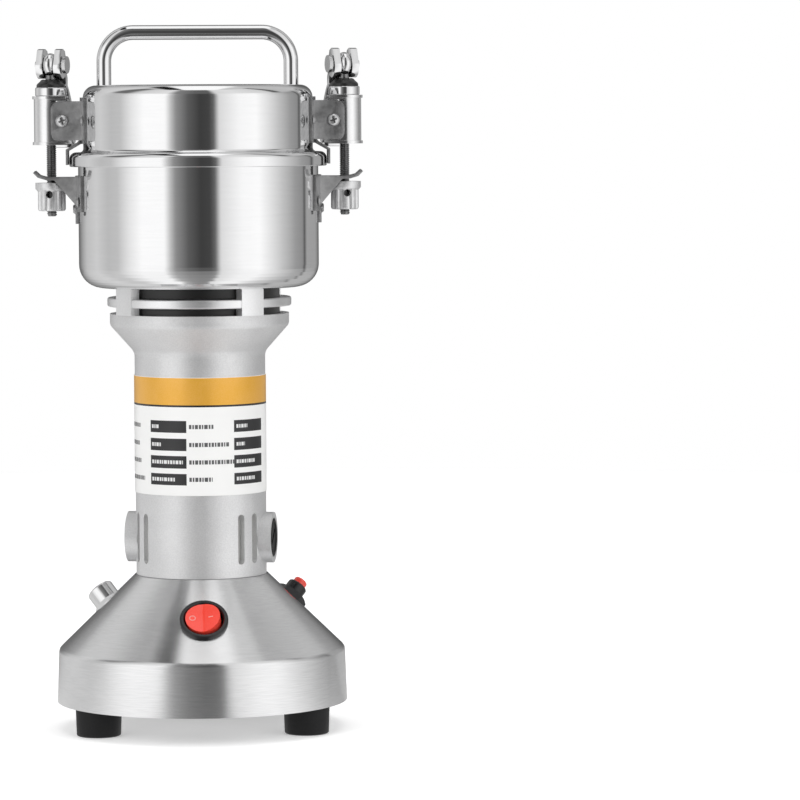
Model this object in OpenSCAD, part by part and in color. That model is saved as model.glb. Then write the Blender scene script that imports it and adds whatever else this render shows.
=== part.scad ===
// Electric coffee grinder: a steel base, a motor column, a grinding bowl and a clamped lid.
// The axis of the bowl and motor is the Z axis, the floor is z = 0, and the front faces -Y.

/* [Base] */
// Radius of the skirt at its lower edge
skirt_r = 60.1; // [58:0.1:64]
// How much the skirt narrows up to its shoulder
skirt_lean = 0.8; // [0:0.1:2]
// Height of the skirt
skirt_h = 21.7; // [20:0.1:26]
// How far the skirt hangs below the base plate
skirt_drop = 1.3; // [0.5:0.1:3]
// Slope of the cone from the horizontal
cone_slope = 44.18; // [42:0.1:46]
// Radius of the shoulder between skirt and cone
shoulder_fillet = 3; // [2:0.5:5]
// Thickness of the base's sheet steel
sheet_t = 1; // [0.8:0.1:1.4]
// Width of the flat seat round the column
seat_margin = 0.6; // [0.4:0.1:2]
// Radius of the opening under the column
seat_hole_r = 16.5; // [15.5:0.5:17]

/* [Feet] */
// Height of a foot
foot_h = 12.6; // [10:0.1:16]
// Radius of a foot at its top
foot_r = 9.5; // [8:0.1:11]
// How much a foot narrows down to the floor
foot_taper = 0.4; // [0:0.1:1]
// Radius of the shank of a foot's screw
foot_screw_r = 2; // [1.5:0.1:2.5]

/* [Column] */
// Radius of the column
column_r = 27; // [26:0.5:29]
// Wall of the column
column_t = 2.8; // [2:0.1:3]
// Height of the column's straight part
column_h = 92.2; // [90:0.1:100]
// Height of the flare above it
flare_h = 11.3; // [10:0.1:14]
// Radius of the cup above the flare
cup_r = 37; // [36:0.5:40]
// Wall of the cup
cup_t = 3; // [2:0.1:3.5]
// Height of the cup's straight part
cup_h = 4.7; // [4:0.1:7]
// Turn of the column about its axis
column_turn = -10; // [-15:1:-5]

/* [Brushes] */
// Height of the brush axis above the column's foot
brush_z = 15.2; // [14:0.1:17]
// Radius of a brush boss
boss_r = 10.5; // [9.5:0.1:11]
// Reach of a brush boss from the axis
boss_reach = 30.5; // [30:0.1:33]
// Radius of a brush cap
cap_r = 8; // [7.5:0.1:8.5]
// Width of a carbon brush
brush_w = 6; // [5:0.5:6]
// Height of a carbon brush
brush_h = 8; // [6:0.5:8]

/* [Vents] */
// Width of a vent slot
vent_w = 3.4; // [2.5:0.1:4]
// Height of a vent slot
vent_h = 20.6; // [15:0.1:22]
// Height of a slot's lower end above the column's foot
vent_z = 5.6; // [4:0.1:8]
// Angle from a boss to the nearest slot
vent_angle = 26; // [25:1:30]
// Angle between two slots
vent_pitch = 16.6; // [14:0.1:20]

/* [Label] */
// Height of the label's lower edge above the column's foot
label_z = 34.5; // [32:0.1:40]
// Height of the label
label_h = 48.4; // [40:0.1:50]
// Angle that the label covers
label_angle = 175; // [150:1:180]
// Thickness of the label
label_t = 0.25; // [0.15:0.05:0.4]

/* [Neck] */
// Height of the neck ring between cup and bowl
neck_h = 10.8; // [9.5:0.1:14]
// Radius of the neck's core
neck_r = 33.2; // [32:0.1:35]
// Radius of the neck's fin
fin_r = 38; // [36:0.1:41]
// Height of the fin's lower face above the cup
fin_z = 3; // [2.5:0.1:4]
// Thickness of the fin
fin_t = 3.7; // [3:0.1:4.5]
// Width of a neck post
post_w = 10.8; // [9:0.1:12]
// Depth of the spigot that centres the neck in the cup
spigot_h = 4; // [3:0.1:5]
// Radius of the circle of neck screws
neck_screw_ring_r = 29.5; // [28.5:0.1:30.5]

/* [Motor] */
// Radius of the motor shaft
shaft_r = 4; // [3.5:0.1:4.5]
// Outer radius of a ball bearing
bearing_r = 11; // [10:0.1:12]
// Width of a ball bearing
bearing_w = 7; // [5:0.5:8]
// Radius of the armature
armature_r = 15; // [13:0.5:15]
// Height of the cores of stator and armature above the column's foot
core_z = 34.2; // [33:0.1:36]
// Room for the ends of the coils between the cores and the fan
coil_room = 12; // [12:0.1:14]
// Air gap between stator and armature
air_gap = 0.8; // [0.5:0.1:1.2]
// Radius of the commutator
commutator_r = 11; // [9:0.5:12]
// Radius of the cooling fan
fan_r = 21; // [18:0.5:23]
// Height of the cooling fan
fan_h = 8; // [7:0.5:9]

/* [Bowl] */
// Outer radius of the bowl
bowl_r = 49.5; // [48:0.1:53]
// Height of the bowl
bowl_h = 51.8; // [50:0.1:60]
// Wall of the bowl
bowl_t = 1.2; // [0.8:0.1:1.4]
// Radius of the bowl's lower corner
bowl_corner = 9.5; // [7:0.1:11]
// Width of the rolled rim
rim_w = 1.7; // [1.2:0.1:2.2]
// Gap between the tip of the lower blade and the bowl's wall
blade_gap = 3.3; // [2.5:0.1:6]
// Width of a blade
blade_w = 15; // [12:0.5:17]
// Thickness of a blade
blade_t = 2; // [1.5:0.1:2.4]

/* [Lid] */
// Height of the lid above the bowl's rim
lid_h = 31.3; // [30:0.1:36]
// Wall of the lid
lid_t = 1.1; // [0.8:0.1:1.3]
// How far the lid's wall stands inside the bowl's outside
lid_inset = 2.2; // [2:0.1:3]
// Radius of the lid's upper corner
lid_corner = 5; // [3:0.1:6]
// Height of the lid's channel above the rim
channel_h = 3.9; // [3.5:0.1:5]
// How far the bead overlaps the rim downwards
bead_drop = 2; // [1:0.1:2.5]
// Radial gap between rim and bead
bead_gap = 0.7; // [0.4:0.1:1]
// Radius of the handle's wire
wire_r = 3; // [2.5:0.1:3.5]
// Distance of the handle's legs from the outside of the lid's wall
handle_inset = 8.8; // [8.5:0.1:11]
// Height of the handle's bar above the lid
handle_rise = 21.7; // [20:0.1:28]
// Bend radius of the handle's corners
handle_bend = 12; // [8:0.5:14]

/* [Latches] */
// Distance of a latch bolt from the bowl's outside
bolt_out = 10.9; // [10.5:0.1:12]
// Height of the latch pivot above the rim
pivot_up = 16.8; // [16:0.1:18]
// Distance of the latch pivot from the bowl's outside
pivot_out = 6.2; // [5.8:0.1:6.6]
// Radius of a pivot screw
pivot_r = 1.9; // [1.6:0.1:2.2]
// Half the width of a yoke
yoke_r = 7; // [6.6:0.1:7.4]
// Thickness of the latch sheet steel
latch_t = 1.2; // [1:0.1:1.4]
// Height of a yoke
yoke_h = 20; // [18:0.1:21]
// Radius of a latch bolt
bolt_r = 2.05; // [1.8:0.05:2.3]
// Turn of the cam lever about the bolt
lever_turn = 16.5; // [14:0.5:20]
// Least distance from the lever pin to the cam face
cam_low = 3.6; // [3.4:0.1:4]
// How far the cam lets the bolt drop
cam_lift = 2; // [1.5:0.1:2.2]
// Angle that the lever opens
lever_open = 110; // [90:1:115]
// Radius of the lever pin
lever_pin_r = 1.6; // [1.4:0.1:1.8]
// Radius of the bend of the lever's handle
lever_bend = 33.4; // [30:0.1:36]
// Width of the lever's handle
lever_w = 9; // [8:0.1:10]
// Radius of a latch nut
nut_r = 5.8; // [5.2:0.1:6.2]
// Height of a latch nut
nut_h = 11.6; // [9:0.1:12]
// Gap between a latch nut and the plate that it hooks under
nut_gap = 1.15; // [1:0.05:1.5]
// Depth of the bowl bracket's plate below the rim
hook_down = 6.2; // [5.5:0.1:7.5]

/* [Controls] */
// Distance of the rocker switch from the middle of the cone, outwards
rocker_shift = -0.45; // [-1.5:0.05:0.5]
// Angle of the rocker switch from the front
rocker_angle = 1; // [-5:1:5]
// Radius of the switch's bezel
bezel_r = 9.9; // [9.6:0.1:11]
// Radius of the rocker
rocker_r = 7.1; // [6.5:0.1:7.2]
// Tilt of the rocker each way from level
rocker_tilt = 8; // [6:0.5:9]
// Distance of the reset button from the middle of the cone, outwards
reset_shift = -0.95; // [-2:0.05:0.5]
// Angle of the reset button from the front
reset_angle = 123; // [115:1:130]
// Size across flats of the reset's nut
reset_af = 13; // [12:0.5:14]
// Travel of the reset button
reset_travel = 1.5; // [1:0.1:1.8]
// Distance of the lamp from the middle of the cone, outwards
lamp_shift = 2.25; // [1:0.05:3.5]
// Angle of the lamp from the front
lamp_angle = -126; // [-135:1:-120]
// Size of the lamp's square lens
lens_w = 6; // [5:0.1:6.5]

/* [Cord] */
// Diameter of the mains cord
cord_d = 6.2; // [5.8:0.1:6.2]

/* [Hidden] */
$fn = 72;
// Clearances: turning fit of a pin, seat of two still pieces, gap between moving pieces
run_gap = 0.05;
seat_gap = 0.15;
move_gap = 0.3;
// Overlap that joins two shapes of one piece, and how far a cut runs past a face
weld = 0.2;
cut = 1;

// Heights of the base, from the floor up
plate_t = 1.2;
plate_z = foot_h;
plate_top = plate_z + plate_t;
skirt_z = foot_h - skirt_drop;
shoulder_r = skirt_r - skirt_lean;
shoulder_z = skirt_z + skirt_h;
collar_r = column_r + seat_margin;
base_z = shoulder_z + (shoulder_r - collar_r) * tan(cone_slope);
// Places of the controls on the cone, as distances from the axis
cone_mid_r = (collar_r + shoulder_r) / 2;
rocker_pos_r = cone_mid_r + rocker_shift;
reset_pos_r = cone_mid_r + reset_shift;
lamp_pos_r = cone_mid_r + lamp_shift;
// Heights of the column, the neck, the bowl and the lid
column_z = base_z + column_h;
cup_z = column_z + flare_h;
neck_z = cup_z + cup_h;
bowl_z = neck_z + neck_h;
floor_z = bowl_z + bowl_t;
rim_z = bowl_z + bowl_h;
lid_z = rim_z + lid_h;

// Outer radius of the skirt and height of the cone, seen from the other size
function skirt_at(z) = skirt_r - skirt_lean * (z - skirt_z) / skirt_h;
function cone_at(r) = base_z - (r - collar_r) * tan(cone_slope);
// Points of an arc in the plane, in degrees
function arc(c, r, a, b, n = 8)
    = [for (i = [0:n]) c + r * [cos(a + (b - a) * i / n), sin(a + (b - a) * i / n)]];
function unit(v) = v / norm(v);
// Points of the round that replaces corner b between a and c
function corner(a, b, c, r, n = 6) =
    let (
        u = unit(a - b),
        v = unit(c - b),
        half = acos(u * v) / 2,
        centre = b + unit(u + v) * r / sin(half),
        s = b + u * r / tan(half) - centre,
        e = b + v * r / tan(half) - centre,
        start = atan2(s[1], s[0]),
        sweep = (atan2(e[1], e[0]) - start + 540) % 360 - 180
    )
    arc(centre, r, start, start + sweep, n);
// A closed outline whose corners are rounded by the third number of each point
function rounded(p, n = 6) = [
    for (i = [0:len(p) - 1])
        let (a = p[(i + len(p) - 1) % len(p)], b = p[i], c = p[(i + 1) % len(p)])
        each b[2] > 0 ? corner([a[0], a[1]], [b[0], b[1]], [c[0], c[1]], b[2], n) : [[b[0], b[1]]]
];

// A turned piece from its half section, given as [radius, height, corner rounding]
module turned(p, n = 6) {
    rotate_extrude() polygon(rounded(p, n));
}
module tube(r, inner, z, h) {
    translate([0, 0, z]) difference() {
        cylinder(r = r, h = h);
        translate([0, 0, -cut]) cylinder(r = inner, h = h + 2 * cut);
    }
}
module rod(r, z, h) {
    translate([0, 0, z]) cylinder(r = r, h = h);
}
module hexagon(across_flats, z, h) {
    translate([0, 0, z]) cylinder(r = across_flats / 2 / cos(30), h = h, $fn = 6);
}
// A cylinder about the X axis from x to x + h
module rod_x(r, x, h) {
    translate([x, 0, 0]) rotate([0, 90, 0]) cylinder(r = r, h = h);
}
// A cylinder about the Y axis, centred on it
module rod_y(r, h) {
    rotate([90, 0, 0]) cylinder(r = r, h = h, center = true);
}
module on_ring(r, angles) {
    for (a = angles)
        rotate([0, 0, a]) translate([0, -r, 0]) children();
}
// Local frame on the cone: z leaves the sheet, y runs up the slope
module on_cone(r, angle) {
    rotate([0, 0, angle]) translate([0, -r, cone_at(r)]) rotate([cone_slope, 0, 0]) children();
}
// Everything under the cone's outer face, in the frame of on_cone
module below_cone(r, angle) {
    rotate([-cone_slope, 0, 0]) translate([0, r, -cone_at(r)])
        translate([0, 0, shoulder_z]) cylinder(r1 = shoulder_r, r2 = collar_r, h = base_z - shoulder_z);
}
module bar(x, y, z) {
    translate([x[0], y[0], z[0]]) cube([x[1] - x[0], y[1] - y[0], z[1] - z[0]]);
}
// Everything from angle a to b round the axis, out to radius r and from z to z + h
module wedge(r, a, b, z, h) {
    translate([0, 0, z]) linear_extrude(h)
        polygon(concat([[0, 0]], arc([0, 0], r, a - 90, b - 90, 12)));
}

// A tube of square-cut rings swept along points, with one ring at each point
function tangent(p, i) = unit(p[min(i + 1, len(p) - 1)] - p[max(i - 1, 0)]);
function side_way(t) = norm(cross(t, [0, 0, 1])) > 0.05 ? unit(cross(t, [0, 0, 1])) : [1, 0, 0];
module swept(p, r, sides, ends = [undef, undef]) {
    rings = [for (i = [0:len(p) - 1])
        let (
            t = i == 0 && ends[0] ? ends[0] : i == len(p) - 1 && ends[1] ? ends[1] : tangent(p, i),
            s = side_way(t),
            u = cross(s, t)
        )
        [for (k = [0:sides - 1]) let (a = (k + 0.5) * 360 / sides) p[i] + r * (cos(a) * s + sin(a) * u)]];
    last = len(p) - 1;
    polyhedron(
        points = [for (ring = rings) each ring],
        faces = concat(
            [for (k = [1:sides - 2]) [0, k, k + 1]],
            [for (k = [1:sides - 2]) [last * sides, last * sides + k + 1, last * sides + k]],
            [for (i = [0:last - 1], k = [0:sides - 1])
                let (m = (k + 1) % sides) each [
                    [i * sides + k, (i + 1) * sides + k, (i + 1) * sides + m],
                    [i * sides + k, (i + 1) * sides + m, i * sides + m]
                ]]
        )
    );
}

// Base
foot_angles = [-60, 60, 180];
foot_ring_r = skirt_r - sheet_t - foot_r - 0.4;
tab_t = 1.5;
tab_w = 16;
tab_reach = 9;
grommet_hole_r = 4.5;
exit_angle = 161;
exit_z = 25.9;
plate_r = skirt_at(plate_z) - sheet_t - move_gap;
rim_up = 4.2;
screw_hole_r = foot_screw_r + seat_gap;
switch_body_r = bezel_r - 1.1;
sleeve_r = 4.3;
lamp_thread_r = 4;
housing_screw_r = 1.5;
lug_r = 3.6;
lug_ring_r = column_r - column_t - lug_r + 1;
lug_angles = [-18, 18, 162, 198];

module base_shell() {
    color("gainsboro") difference() {
        union() {
            turned([
                [skirt_r, skirt_z, 0],
                [shoulder_r, shoulder_z, shoulder_fillet],
                [collar_r, base_z, 0],
                [seat_hole_r, base_z, 0],
                [seat_hole_r, base_z - sheet_t, 0],
                [collar_r - 0.4 * sheet_t, base_z - sheet_t, 0],
                [shoulder_r - sheet_t, shoulder_z - 0.4 * sheet_t, shoulder_fillet - sheet_t],
                [skirt_r - sheet_t, skirt_z, 0]
            ], 8);
            intersection() {
                on_ring(foot_ring_r, foot_angles)
                    bar([-tab_w / 2, tab_w / 2], [-foot_r - 2, tab_reach], [plate_top, plate_top + tab_t]);
                rod(skirt_at(plate_top) - sheet_t + weld, plate_top, tab_t);
            }
        }
        on_ring(foot_ring_r, foot_angles) rod(screw_hole_r, plate_z, 10);
        on_cone(rocker_pos_r, rocker_angle) rod(switch_body_r + seat_gap, -8, 16);
        on_cone(reset_pos_r, reset_angle) rod(sleeve_r + seat_gap, -8, 16);
        on_cone(lamp_pos_r, lamp_angle) rod(lamp_thread_r + seat_gap, -8, 16);
        rotate([0, 0, exit_angle]) translate([0, -skirt_r, exit_z]) rod_y(grommet_hole_r, 10);
        rotate([0, 0, column_turn]) on_ring(lug_ring_r, lug_angles)
            rod(housing_screw_r + seat_gap, base_z - 5, 10);
    }
}

module base_plate() {
    color("darkgray") difference() {
        turned([
            [0, plate_z, 0], [plate_r, plate_z, 1.5], [plate_r, plate_top + rim_up, 0],
            [plate_r - plate_t, plate_top + rim_up, 0], [plate_r - plate_t, plate_top, 0], [0, plate_top, 0]
        ], 4);
        on_ring(foot_ring_r, foot_angles) {
            rod(screw_hole_r, plate_z - cut, 10);
            bar([-tab_w / 2 - 1, tab_w / 2 + 1], [-foot_r - 4, tab_reach + 1], [plate_top, plate_top + 10]);
        }
        for (ring = [[14, 6], [23, 10], [32, 14]])
            on_ring(ring[0], [for (i = [1:ring[1]]) i * 360 / ring[1]])
                rod(2.4, plate_z - cut, plate_t + 2 * cut);
    }
}

foot_recess_r = 5;
foot_recess_h = 7;
module rubber_feet() {
    color("#222222") on_ring(foot_ring_r, foot_angles) difference() {
        turned([[0, 0, 0], [foot_r - foot_taper, 0, 0.8], [foot_r, plate_z, 0], [0, plate_z, 0]]);
        rod(foot_recess_r, -cut, foot_recess_h + cut);
        rod(screw_hole_r, 0, foot_h + cut);
    }
}
module foot_screws() {
    color("silver") on_ring(foot_ring_r, foot_angles) {
        difference() {
            rod(foot_recess_r - 1.2, foot_recess_h - 2.6, 2.6);
            translate([0, 0, foot_recess_h - 2.6]) for (a = [0, 90])
                rotate([0, 0, a]) cube([5, 1, 2], center = true);
        }
        rod(foot_screw_r, foot_recess_h - weld, plate_top + tab_t + 5 - foot_recess_h);
        hexagon(7, plate_top + tab_t, 3.2);
    }
}

// Rocker switch: a round body clipped into the cone, with the rocker on a cross pin
bezel_h = 1.6;
well_r = rocker_r + 0.8;
well_depth = 6.5;
switch_depth = 14;
rocker_pin_r = 1;
rocker_pin_z = -1;
rocker_pin_l = 2 * switch_body_r - 0.6;
module switch_body() {
    color("#1b1b1b") on_cone(rocker_pos_r, rocker_angle) difference() {
        union() {
            difference() {
                turned([[0, -3, 0], [bezel_r, -3, 0], [bezel_r, bezel_h, 0.7], [0, bezel_h, 0]]);
                below_cone(rocker_pos_r, rocker_angle);
            }
            rod(switch_body_r, -switch_depth, switch_depth + bezel_h - 0.5);
            for (x = [-4.5, 0, 4.5])
                translate([x, 0, -switch_depth - 4]) cube([0.8, 4.8, 8.4], center = true);
        }
        rod(well_r, -well_depth, 20);
        translate([0, 0, bezel_h]) mirror([0, 0, 1]) cylinder(r1 = well_r + 0.5, r2 = well_r - 0.1, h = 0.6);
        translate([0, 0, rocker_pin_z]) rod_y(rocker_pin_r + run_gap, 2 * switch_body_r - 0.4);
    }
}
rocker_mid = 1.9;
module rocker_button() {
    edge = rocker_mid + rocker_r * tan(rocker_tilt);
    color("red") on_cone(rocker_pos_r, rocker_angle)
        translate([0, 0, rocker_pin_z]) rotate([0, -rocker_tilt, 0]) translate([0, 0, -rocker_pin_z]) {
            intersection() {
                rod(rocker_r, -6, 14);
                rotate([90, 0, 0]) linear_extrude(3 * rocker_r, center = true) polygon(rounded([
                    [-rocker_r - 1, -3.6, 0], [rocker_r + 1, -3.6, 0],
                    [rocker_r + 1, edge + 0.1, 0], [rocker_r - 0.2, edge, 0.6], [0, rocker_mid, 6],
                    [-rocker_r + 0.2, edge, 0.6], [-rocker_r - 1, edge + 0.1, 0]
                ]));
            }
            translate([0, 0, rocker_pin_z]) rod_y(rocker_pin_r, rocker_pin_l);
        }
}

// Overload reset: a threaded sleeve with a hexagon nut, and a button that slides in it
reset_r = 2.9;
sleeve_top = 8.6;
sleeve_bottom = -3;
reset_out = 11.2;
reset_in = 1;
reset_nut_h = 4.2;
module breaker_body() {
    color("#202020") on_cone(reset_pos_r, reset_angle) difference() {
        union() {
            turned([
                [0, sleeve_bottom - 2, 0], [sleeve_r, sleeve_bottom - 2, 0], [sleeve_r, sleeve_top, 0.8],
                [0, sleeve_top, 0]
            ]);
            bar([-6, 6], [-8, 8], [-22, -4.5]);
            for (y = [-4.5, 4.5]) bar([-2.4, 2.4], [y - 0.4, y + 0.4], [-29, -21]);
        }
        rod(reset_r + run_gap, reset_in - reset_travel - 0.5, 20);
    }
}
module breaker_nut() {
    color("#151515") on_cone(reset_pos_r, reset_angle) difference() {
        intersection() {
            hexagon(reset_af, -2, reset_nut_h + 2);
            turned([
                [0, -2, 0], [reset_af, -2, 0], [reset_af / 2 + 1.6, reset_nut_h - 1, 0],
                [reset_af / 2 - 0.4, reset_nut_h, 0], [0, reset_nut_h, 0]
            ]);
        }
        below_cone(reset_pos_r, reset_angle);
        rod(sleeve_r + run_gap, -3, 10);
    }
}
module reset_button() {
    color("crimson") on_cone(reset_pos_r, reset_angle)
        turned([[0, reset_in, 0], [reset_r, reset_in, 0], [reset_r, reset_out, 0.9], [0, reset_out, 0]]);
}

// Indicator lamp: a chromed holder with a square lens
lamp_h = 11;
lamp_r = 5.8;
lens_z = 6;
module funnel(w, rise) {
    intersection_for (a = [0, 90])
        rotate([90, 0, a]) linear_extrude(3 * w, center = true)
            polygon([[-w / 2, 0], [w / 2, 0], [w / 2 + rise, rise], [-w / 2 - rise, rise]]);
}
module lamp_holder() {
    color("silver") on_cone(lamp_pos_r, lamp_angle) difference() {
        union() {
            difference() {
                intersection() {
                    hexagon(13, -2, 6);
                    turned([[0, -2, 0], [13, -2, 0], [8, 3.2, 0], [6.2, 4, 0], [0, 4, 0]]);
                }
                below_cone(lamp_pos_r, lamp_angle);
            }
            turned([[0, 0, 0], [lamp_r, 0.5, 0], [lamp_r, lamp_h, 0.8], [0, lamp_h, 0]]);
            rod(lamp_thread_r, -13, 14);
        }
        translate([0, 0, lens_z + 5]) cube([lens_w + 2 * seat_gap, lens_w + 2 * seat_gap, 10], center = true);
        translate([0, 0, lamp_h - 1]) funnel(lens_w + 0.4, 1.5);
    }
}
module lamp_lens() {
    color("red") on_cone(lamp_pos_r, lamp_angle) {
        translate([0, 0, lens_z + 1.8]) cube([lens_w, lens_w, 3.6], center = true);
        intersection() {
            translate([0, 0, lens_z + 3]) cube([lens_w, lens_w, 4], center = true);
            translate([0, 0, lens_z - 6.6]) sphere(r = 11);
        }
    }
}

// Grommet: a grey collar round the cord, clipped into the skirt
collar_out = 2.2;
module cable_grommet() {
    color("gray") rotate([0, 0, exit_angle]) translate([0, -skirt_at(exit_z), exit_z]) rotate([90, 0, 0])
        difference() {
        union() {
            difference() {
                turned([[0, -1, 0], [5.85, -1, 0], [5.85, collar_out, 1], [0, collar_out, 0]]);
                translate([0, skirt_z - exit_z, -skirt_at(exit_z)]) rotate([-90, 0, 0])
                    cylinder(r1 = skirt_r + run_gap, r2 = shoulder_r + run_gap, h = skirt_h);
            }
            rod(grommet_hole_r - seat_gap, -sheet_t - 1.6, sheet_t + 2);
            turned([
                [0, -sheet_t - 3.4, 0], [5.2, -sheet_t - 3.4, 0.8], [5.6, -sheet_t - 0.6, 0],
                [0, -sheet_t - 0.6, 0]
            ]);
        }
        rod(cord_d / 2 + seat_gap, -10, 20);
    }
}

// Mains cord: it leaves the grommet, drops to the floor behind the base and lies in a coil
cord_r = cord_d / 2;
lead_points = [
    [19.2, 55.7, 25.9], [22, 63.5, 25.7], [25.4, 73.9, 23], [28.3, 84.1, 16.8],
    [30.6, 92.6, 11.2], [32.6, 103, 6], [33.7, 111.5, 3.7], [34, 119, 3.1]
];
tail_points = [
    [34, 132, 9.9], [35.2, 145, 9], [36.4, 157, 6], [35.6, 168.5, 3.6],
    [31.6, 179, 3.2], [24.4, 187.3, 4.8], [15.8, 192.4, 7.8], [8.4, 194.2, 9.3], [2, 194.5, 9.5]
];
coil_c = [-7.4, 125.5];
coil_r = 41.4;
coil_pitch = 6.8;
coil_in = 2.25;
coil_turn = 0.5;
coil_rings = 24;
coil_span = 2 * coil_in + coil_turn;
// Radius and height of the coil's line after t turns: in, up through the half turn, and out
function coil_radius(t) =
    let (x = t - coil_in, low = coil_r - coil_pitch * coil_in)
    x < 0 ? low - coil_pitch * x
    : x > coil_turn ? low + coil_pitch * (x - coil_turn)
    : low - coil_pitch * x * (1 - x / coil_turn);
function coil_height(t) = 3.1 + coil_pitch * min(max((t - coil_in) / coil_turn, 0), 1);
function coil_point(t) = [
    coil_c[0] + coil_radius(t) * cos(360 * t), coil_c[1] + coil_radius(t) * sin(360 * t), coil_height(t)
];
coil_points = concat(
    [[34, 119, 3.1], [34, 122.2, 3.1]],
    [for (i = [0:coil_rings * coil_span]) coil_point(i / coil_rings)],
    [[34, 128.8, 9.9], [34, 132, 9.9]]
);
// Least distance between the coil's line and itself, past the nearest rings on the same turn
coil_gap = min([for (i = [0:len(coil_points) - 9], j = [i + 8:len(coil_points) - 1])
    norm(coil_points[i] - coil_points[j])]) - cord_d;
function path_length(p) = len(p) < 2 ? 0 : [for (i = 1, s = norm(p[1] - p[0]); i < len(p); i = i + 1,
    s = s + (i < len(p) ? norm(p[i] - p[i - 1]) : 0)) s][len(p) - 2];
cord_length = path_length(lead_points) + path_length(coil_points) + path_length(tail_points);
echo(coil_gap = coil_gap, cord_length = cord_length);

module cord_lead() {
    color("#1a1a1a") swept(lead_points, cord_r, 8, [undef, [0, 1, 0]]);
}
module cord_coil() {
    color("#1a1a1a") swept(coil_points, cord_r, 6);
}
module cord_tail() {
    color("#1a1a1a") swept(tail_points, cord_r, 8, [[0, 1, 0], [-1, 0, 0]]);
}
// Plug: a moulded body with a ribbed relief, two flat pins and a round one
plug_at = tail_points[len(tail_points) - 1];
relief_l = 15;
body_l = 24;
body_w = 25;
body_h = 19;
plug_pin_l = 16;
module at_plug() {
    translate(plug_at) rotate([0, -90, 0]) children();
}
module plug_body() {
    color("#1a1a1a") at_plug() difference() {
        union() {
            turned([[0, 0, 0], [4.2, 0, 0.6], [5.6, relief_l + 2, 0], [0, relief_l + 2, 0]]);
            intersection() {
                translate([0, 0, relief_l - 3]) rotate([90, 0, 0]) linear_extrude(body_w + 4, center = true)
                    polygon(rounded([
                        [-5, 0, 2], [5, 0, 2], [body_h / 2, 9, 4], [body_h / 2, body_l, 1],
                        [-body_h / 2, body_l, 1], [-body_h / 2, 9, 4]
                    ]));
                translate([0, 0, relief_l - 3]) rotate([90, 0, 90]) linear_extrude(body_h + 4, center = true)
                    polygon(rounded([
                        [-6, 0, 2], [6, 0, 2], [body_w / 2, 10, 6], [body_w / 2, body_l, 1.5],
                        [-body_w / 2, body_l, 1.5], [-body_w / 2, 10, 6]
                    ]));
            }
        }
        for (z = [4.5:3.2:12]) tube(8, 4, z, 1.3);
    }
}
module plug_pins() {
    color("silver") at_plug() translate([0, 0, relief_l - 3 + body_l]) {
        for (y = [-6.35, 6.35]) bar([-5, 1.3], [y - 0.75, y + 0.75], [0, plug_pin_l]);
        translate([5.6, 0, 0]) turned([
            [0, 0, 0], [2.4, 0, 0], [2.4, plug_pin_l + 2, 2], [0, plug_pin_l + 2, 0]
        ]);
    }
}

// Column: a cast housing with brush bosses, vent slots and a flare into the cup
brush_axis = base_z + brush_z;
boss_angles = [-90, 90];
bore_r = column_r - column_t;
cup_in_r = cup_r - cup_t;
flare_in_z = column_z + 2.5;
cup_in_z = neck_z - spigot_h - 1.5;
cup_boss_r = 4.5;
post_angles = [45, 135, 225, 315];
neck_screw_r = 2;
cap_h = 3.5;
boss_seat = 1.2;
cap_out = boss_reach - boss_seat;
module slot(w, h, depth) {
    translate([0, 0, w / 2]) rod_y(w / 2, depth);
    translate([0, 0, h - w / 2]) rod_y(w / 2, depth);
    bar([-w / 2, w / 2], [-depth / 2, depth / 2], [w / 2, h - w / 2]);
}
module column_outside() {
    turned([
        [0, base_z, 0], [column_r, base_z, 0.4], [column_r, column_z, 5], [cup_r, cup_z, 3],
        [cup_r, neck_z, 0], [0, neck_z, 0]
    ], 8);
}
module motor_housing() {
    color("#dedede") rotate([0, 0, column_turn]) difference() {
        union() {
            difference() {
                union() {
                    column_outside();
                    on_ring(boss_reach / 2, boss_angles) translate([0, 0, brush_axis])
                        rod_y(boss_r, boss_reach);
                }
                turned([
                    [0, base_z - cut, 0], [bore_r, base_z - cut, 0], [bore_r, flare_in_z, 0],
                    [cup_in_r, cup_in_z, 2], [cup_in_r, neck_z + cut, 0], [0, neck_z + cut, 0]
                ]);
            }
            intersection() {
                difference() {
                    column_outside();
                    rod(bore_r - 2 * lug_r + 1, base_z - cut, 200);
                }
                union() {
                    on_ring(lug_ring_r, lug_angles) rod(lug_r, base_z + 3.3, 12);
                    on_ring(neck_screw_ring_r, post_angles)
                        rod(cup_boss_r, column_z + 3, neck_z - spigot_h - column_z - 3);
                }
            }
        }
        on_ring(boss_reach / 2 + 10, boss_angles) translate([0, 0, brush_axis])
            rod_y(cap_r + seat_gap, boss_reach);
        for (boss = boss_angles, side = [-1, 1], i = [0, 1])
            on_ring(column_r, [boss + side * (vent_angle + i * vent_pitch)])
                translate([0, 0, base_z + vent_z]) slot(vent_w, vent_h, 12);
        on_ring(lug_ring_r, lug_angles) rod(housing_screw_r + run_gap, base_z, 14);
        on_ring(neck_screw_ring_r, post_angles) rod(neck_screw_r + run_gap, neck_z - spigot_h - 6, 8);
    }
}
module brush_caps() {
    color("#303030") rotate([0, 0, column_turn]) on_ring(0, boss_angles) translate([0, -cap_out, brush_axis])
        rotate([90, 0, 0]) difference() {
            turned([[0, -cap_h, 0], [cap_r, -cap_h, 0], [cap_r, 0, 0.6], [0, 0, 0]]);
            cube([2 * cap_r - 3, 1.8, 2.4], center = true);
        }
}
module housing_label() {
    color("white") intersection() {
        tube(column_r + run_gap + label_t, column_r + run_gap, base_z + label_z, label_h);
        wedge(3 * column_r, -90, label_angle - 90, base_z, column_h);
    }
}
module housing_screws() {
    color("silver") rotate([0, 0, column_turn]) on_ring(lug_ring_r, lug_angles) {
        rod(2.8, base_z - sheet_t - 2, 2);
        rod(housing_screw_r, base_z - sheet_t - weld, 13);
    }
}

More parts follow.
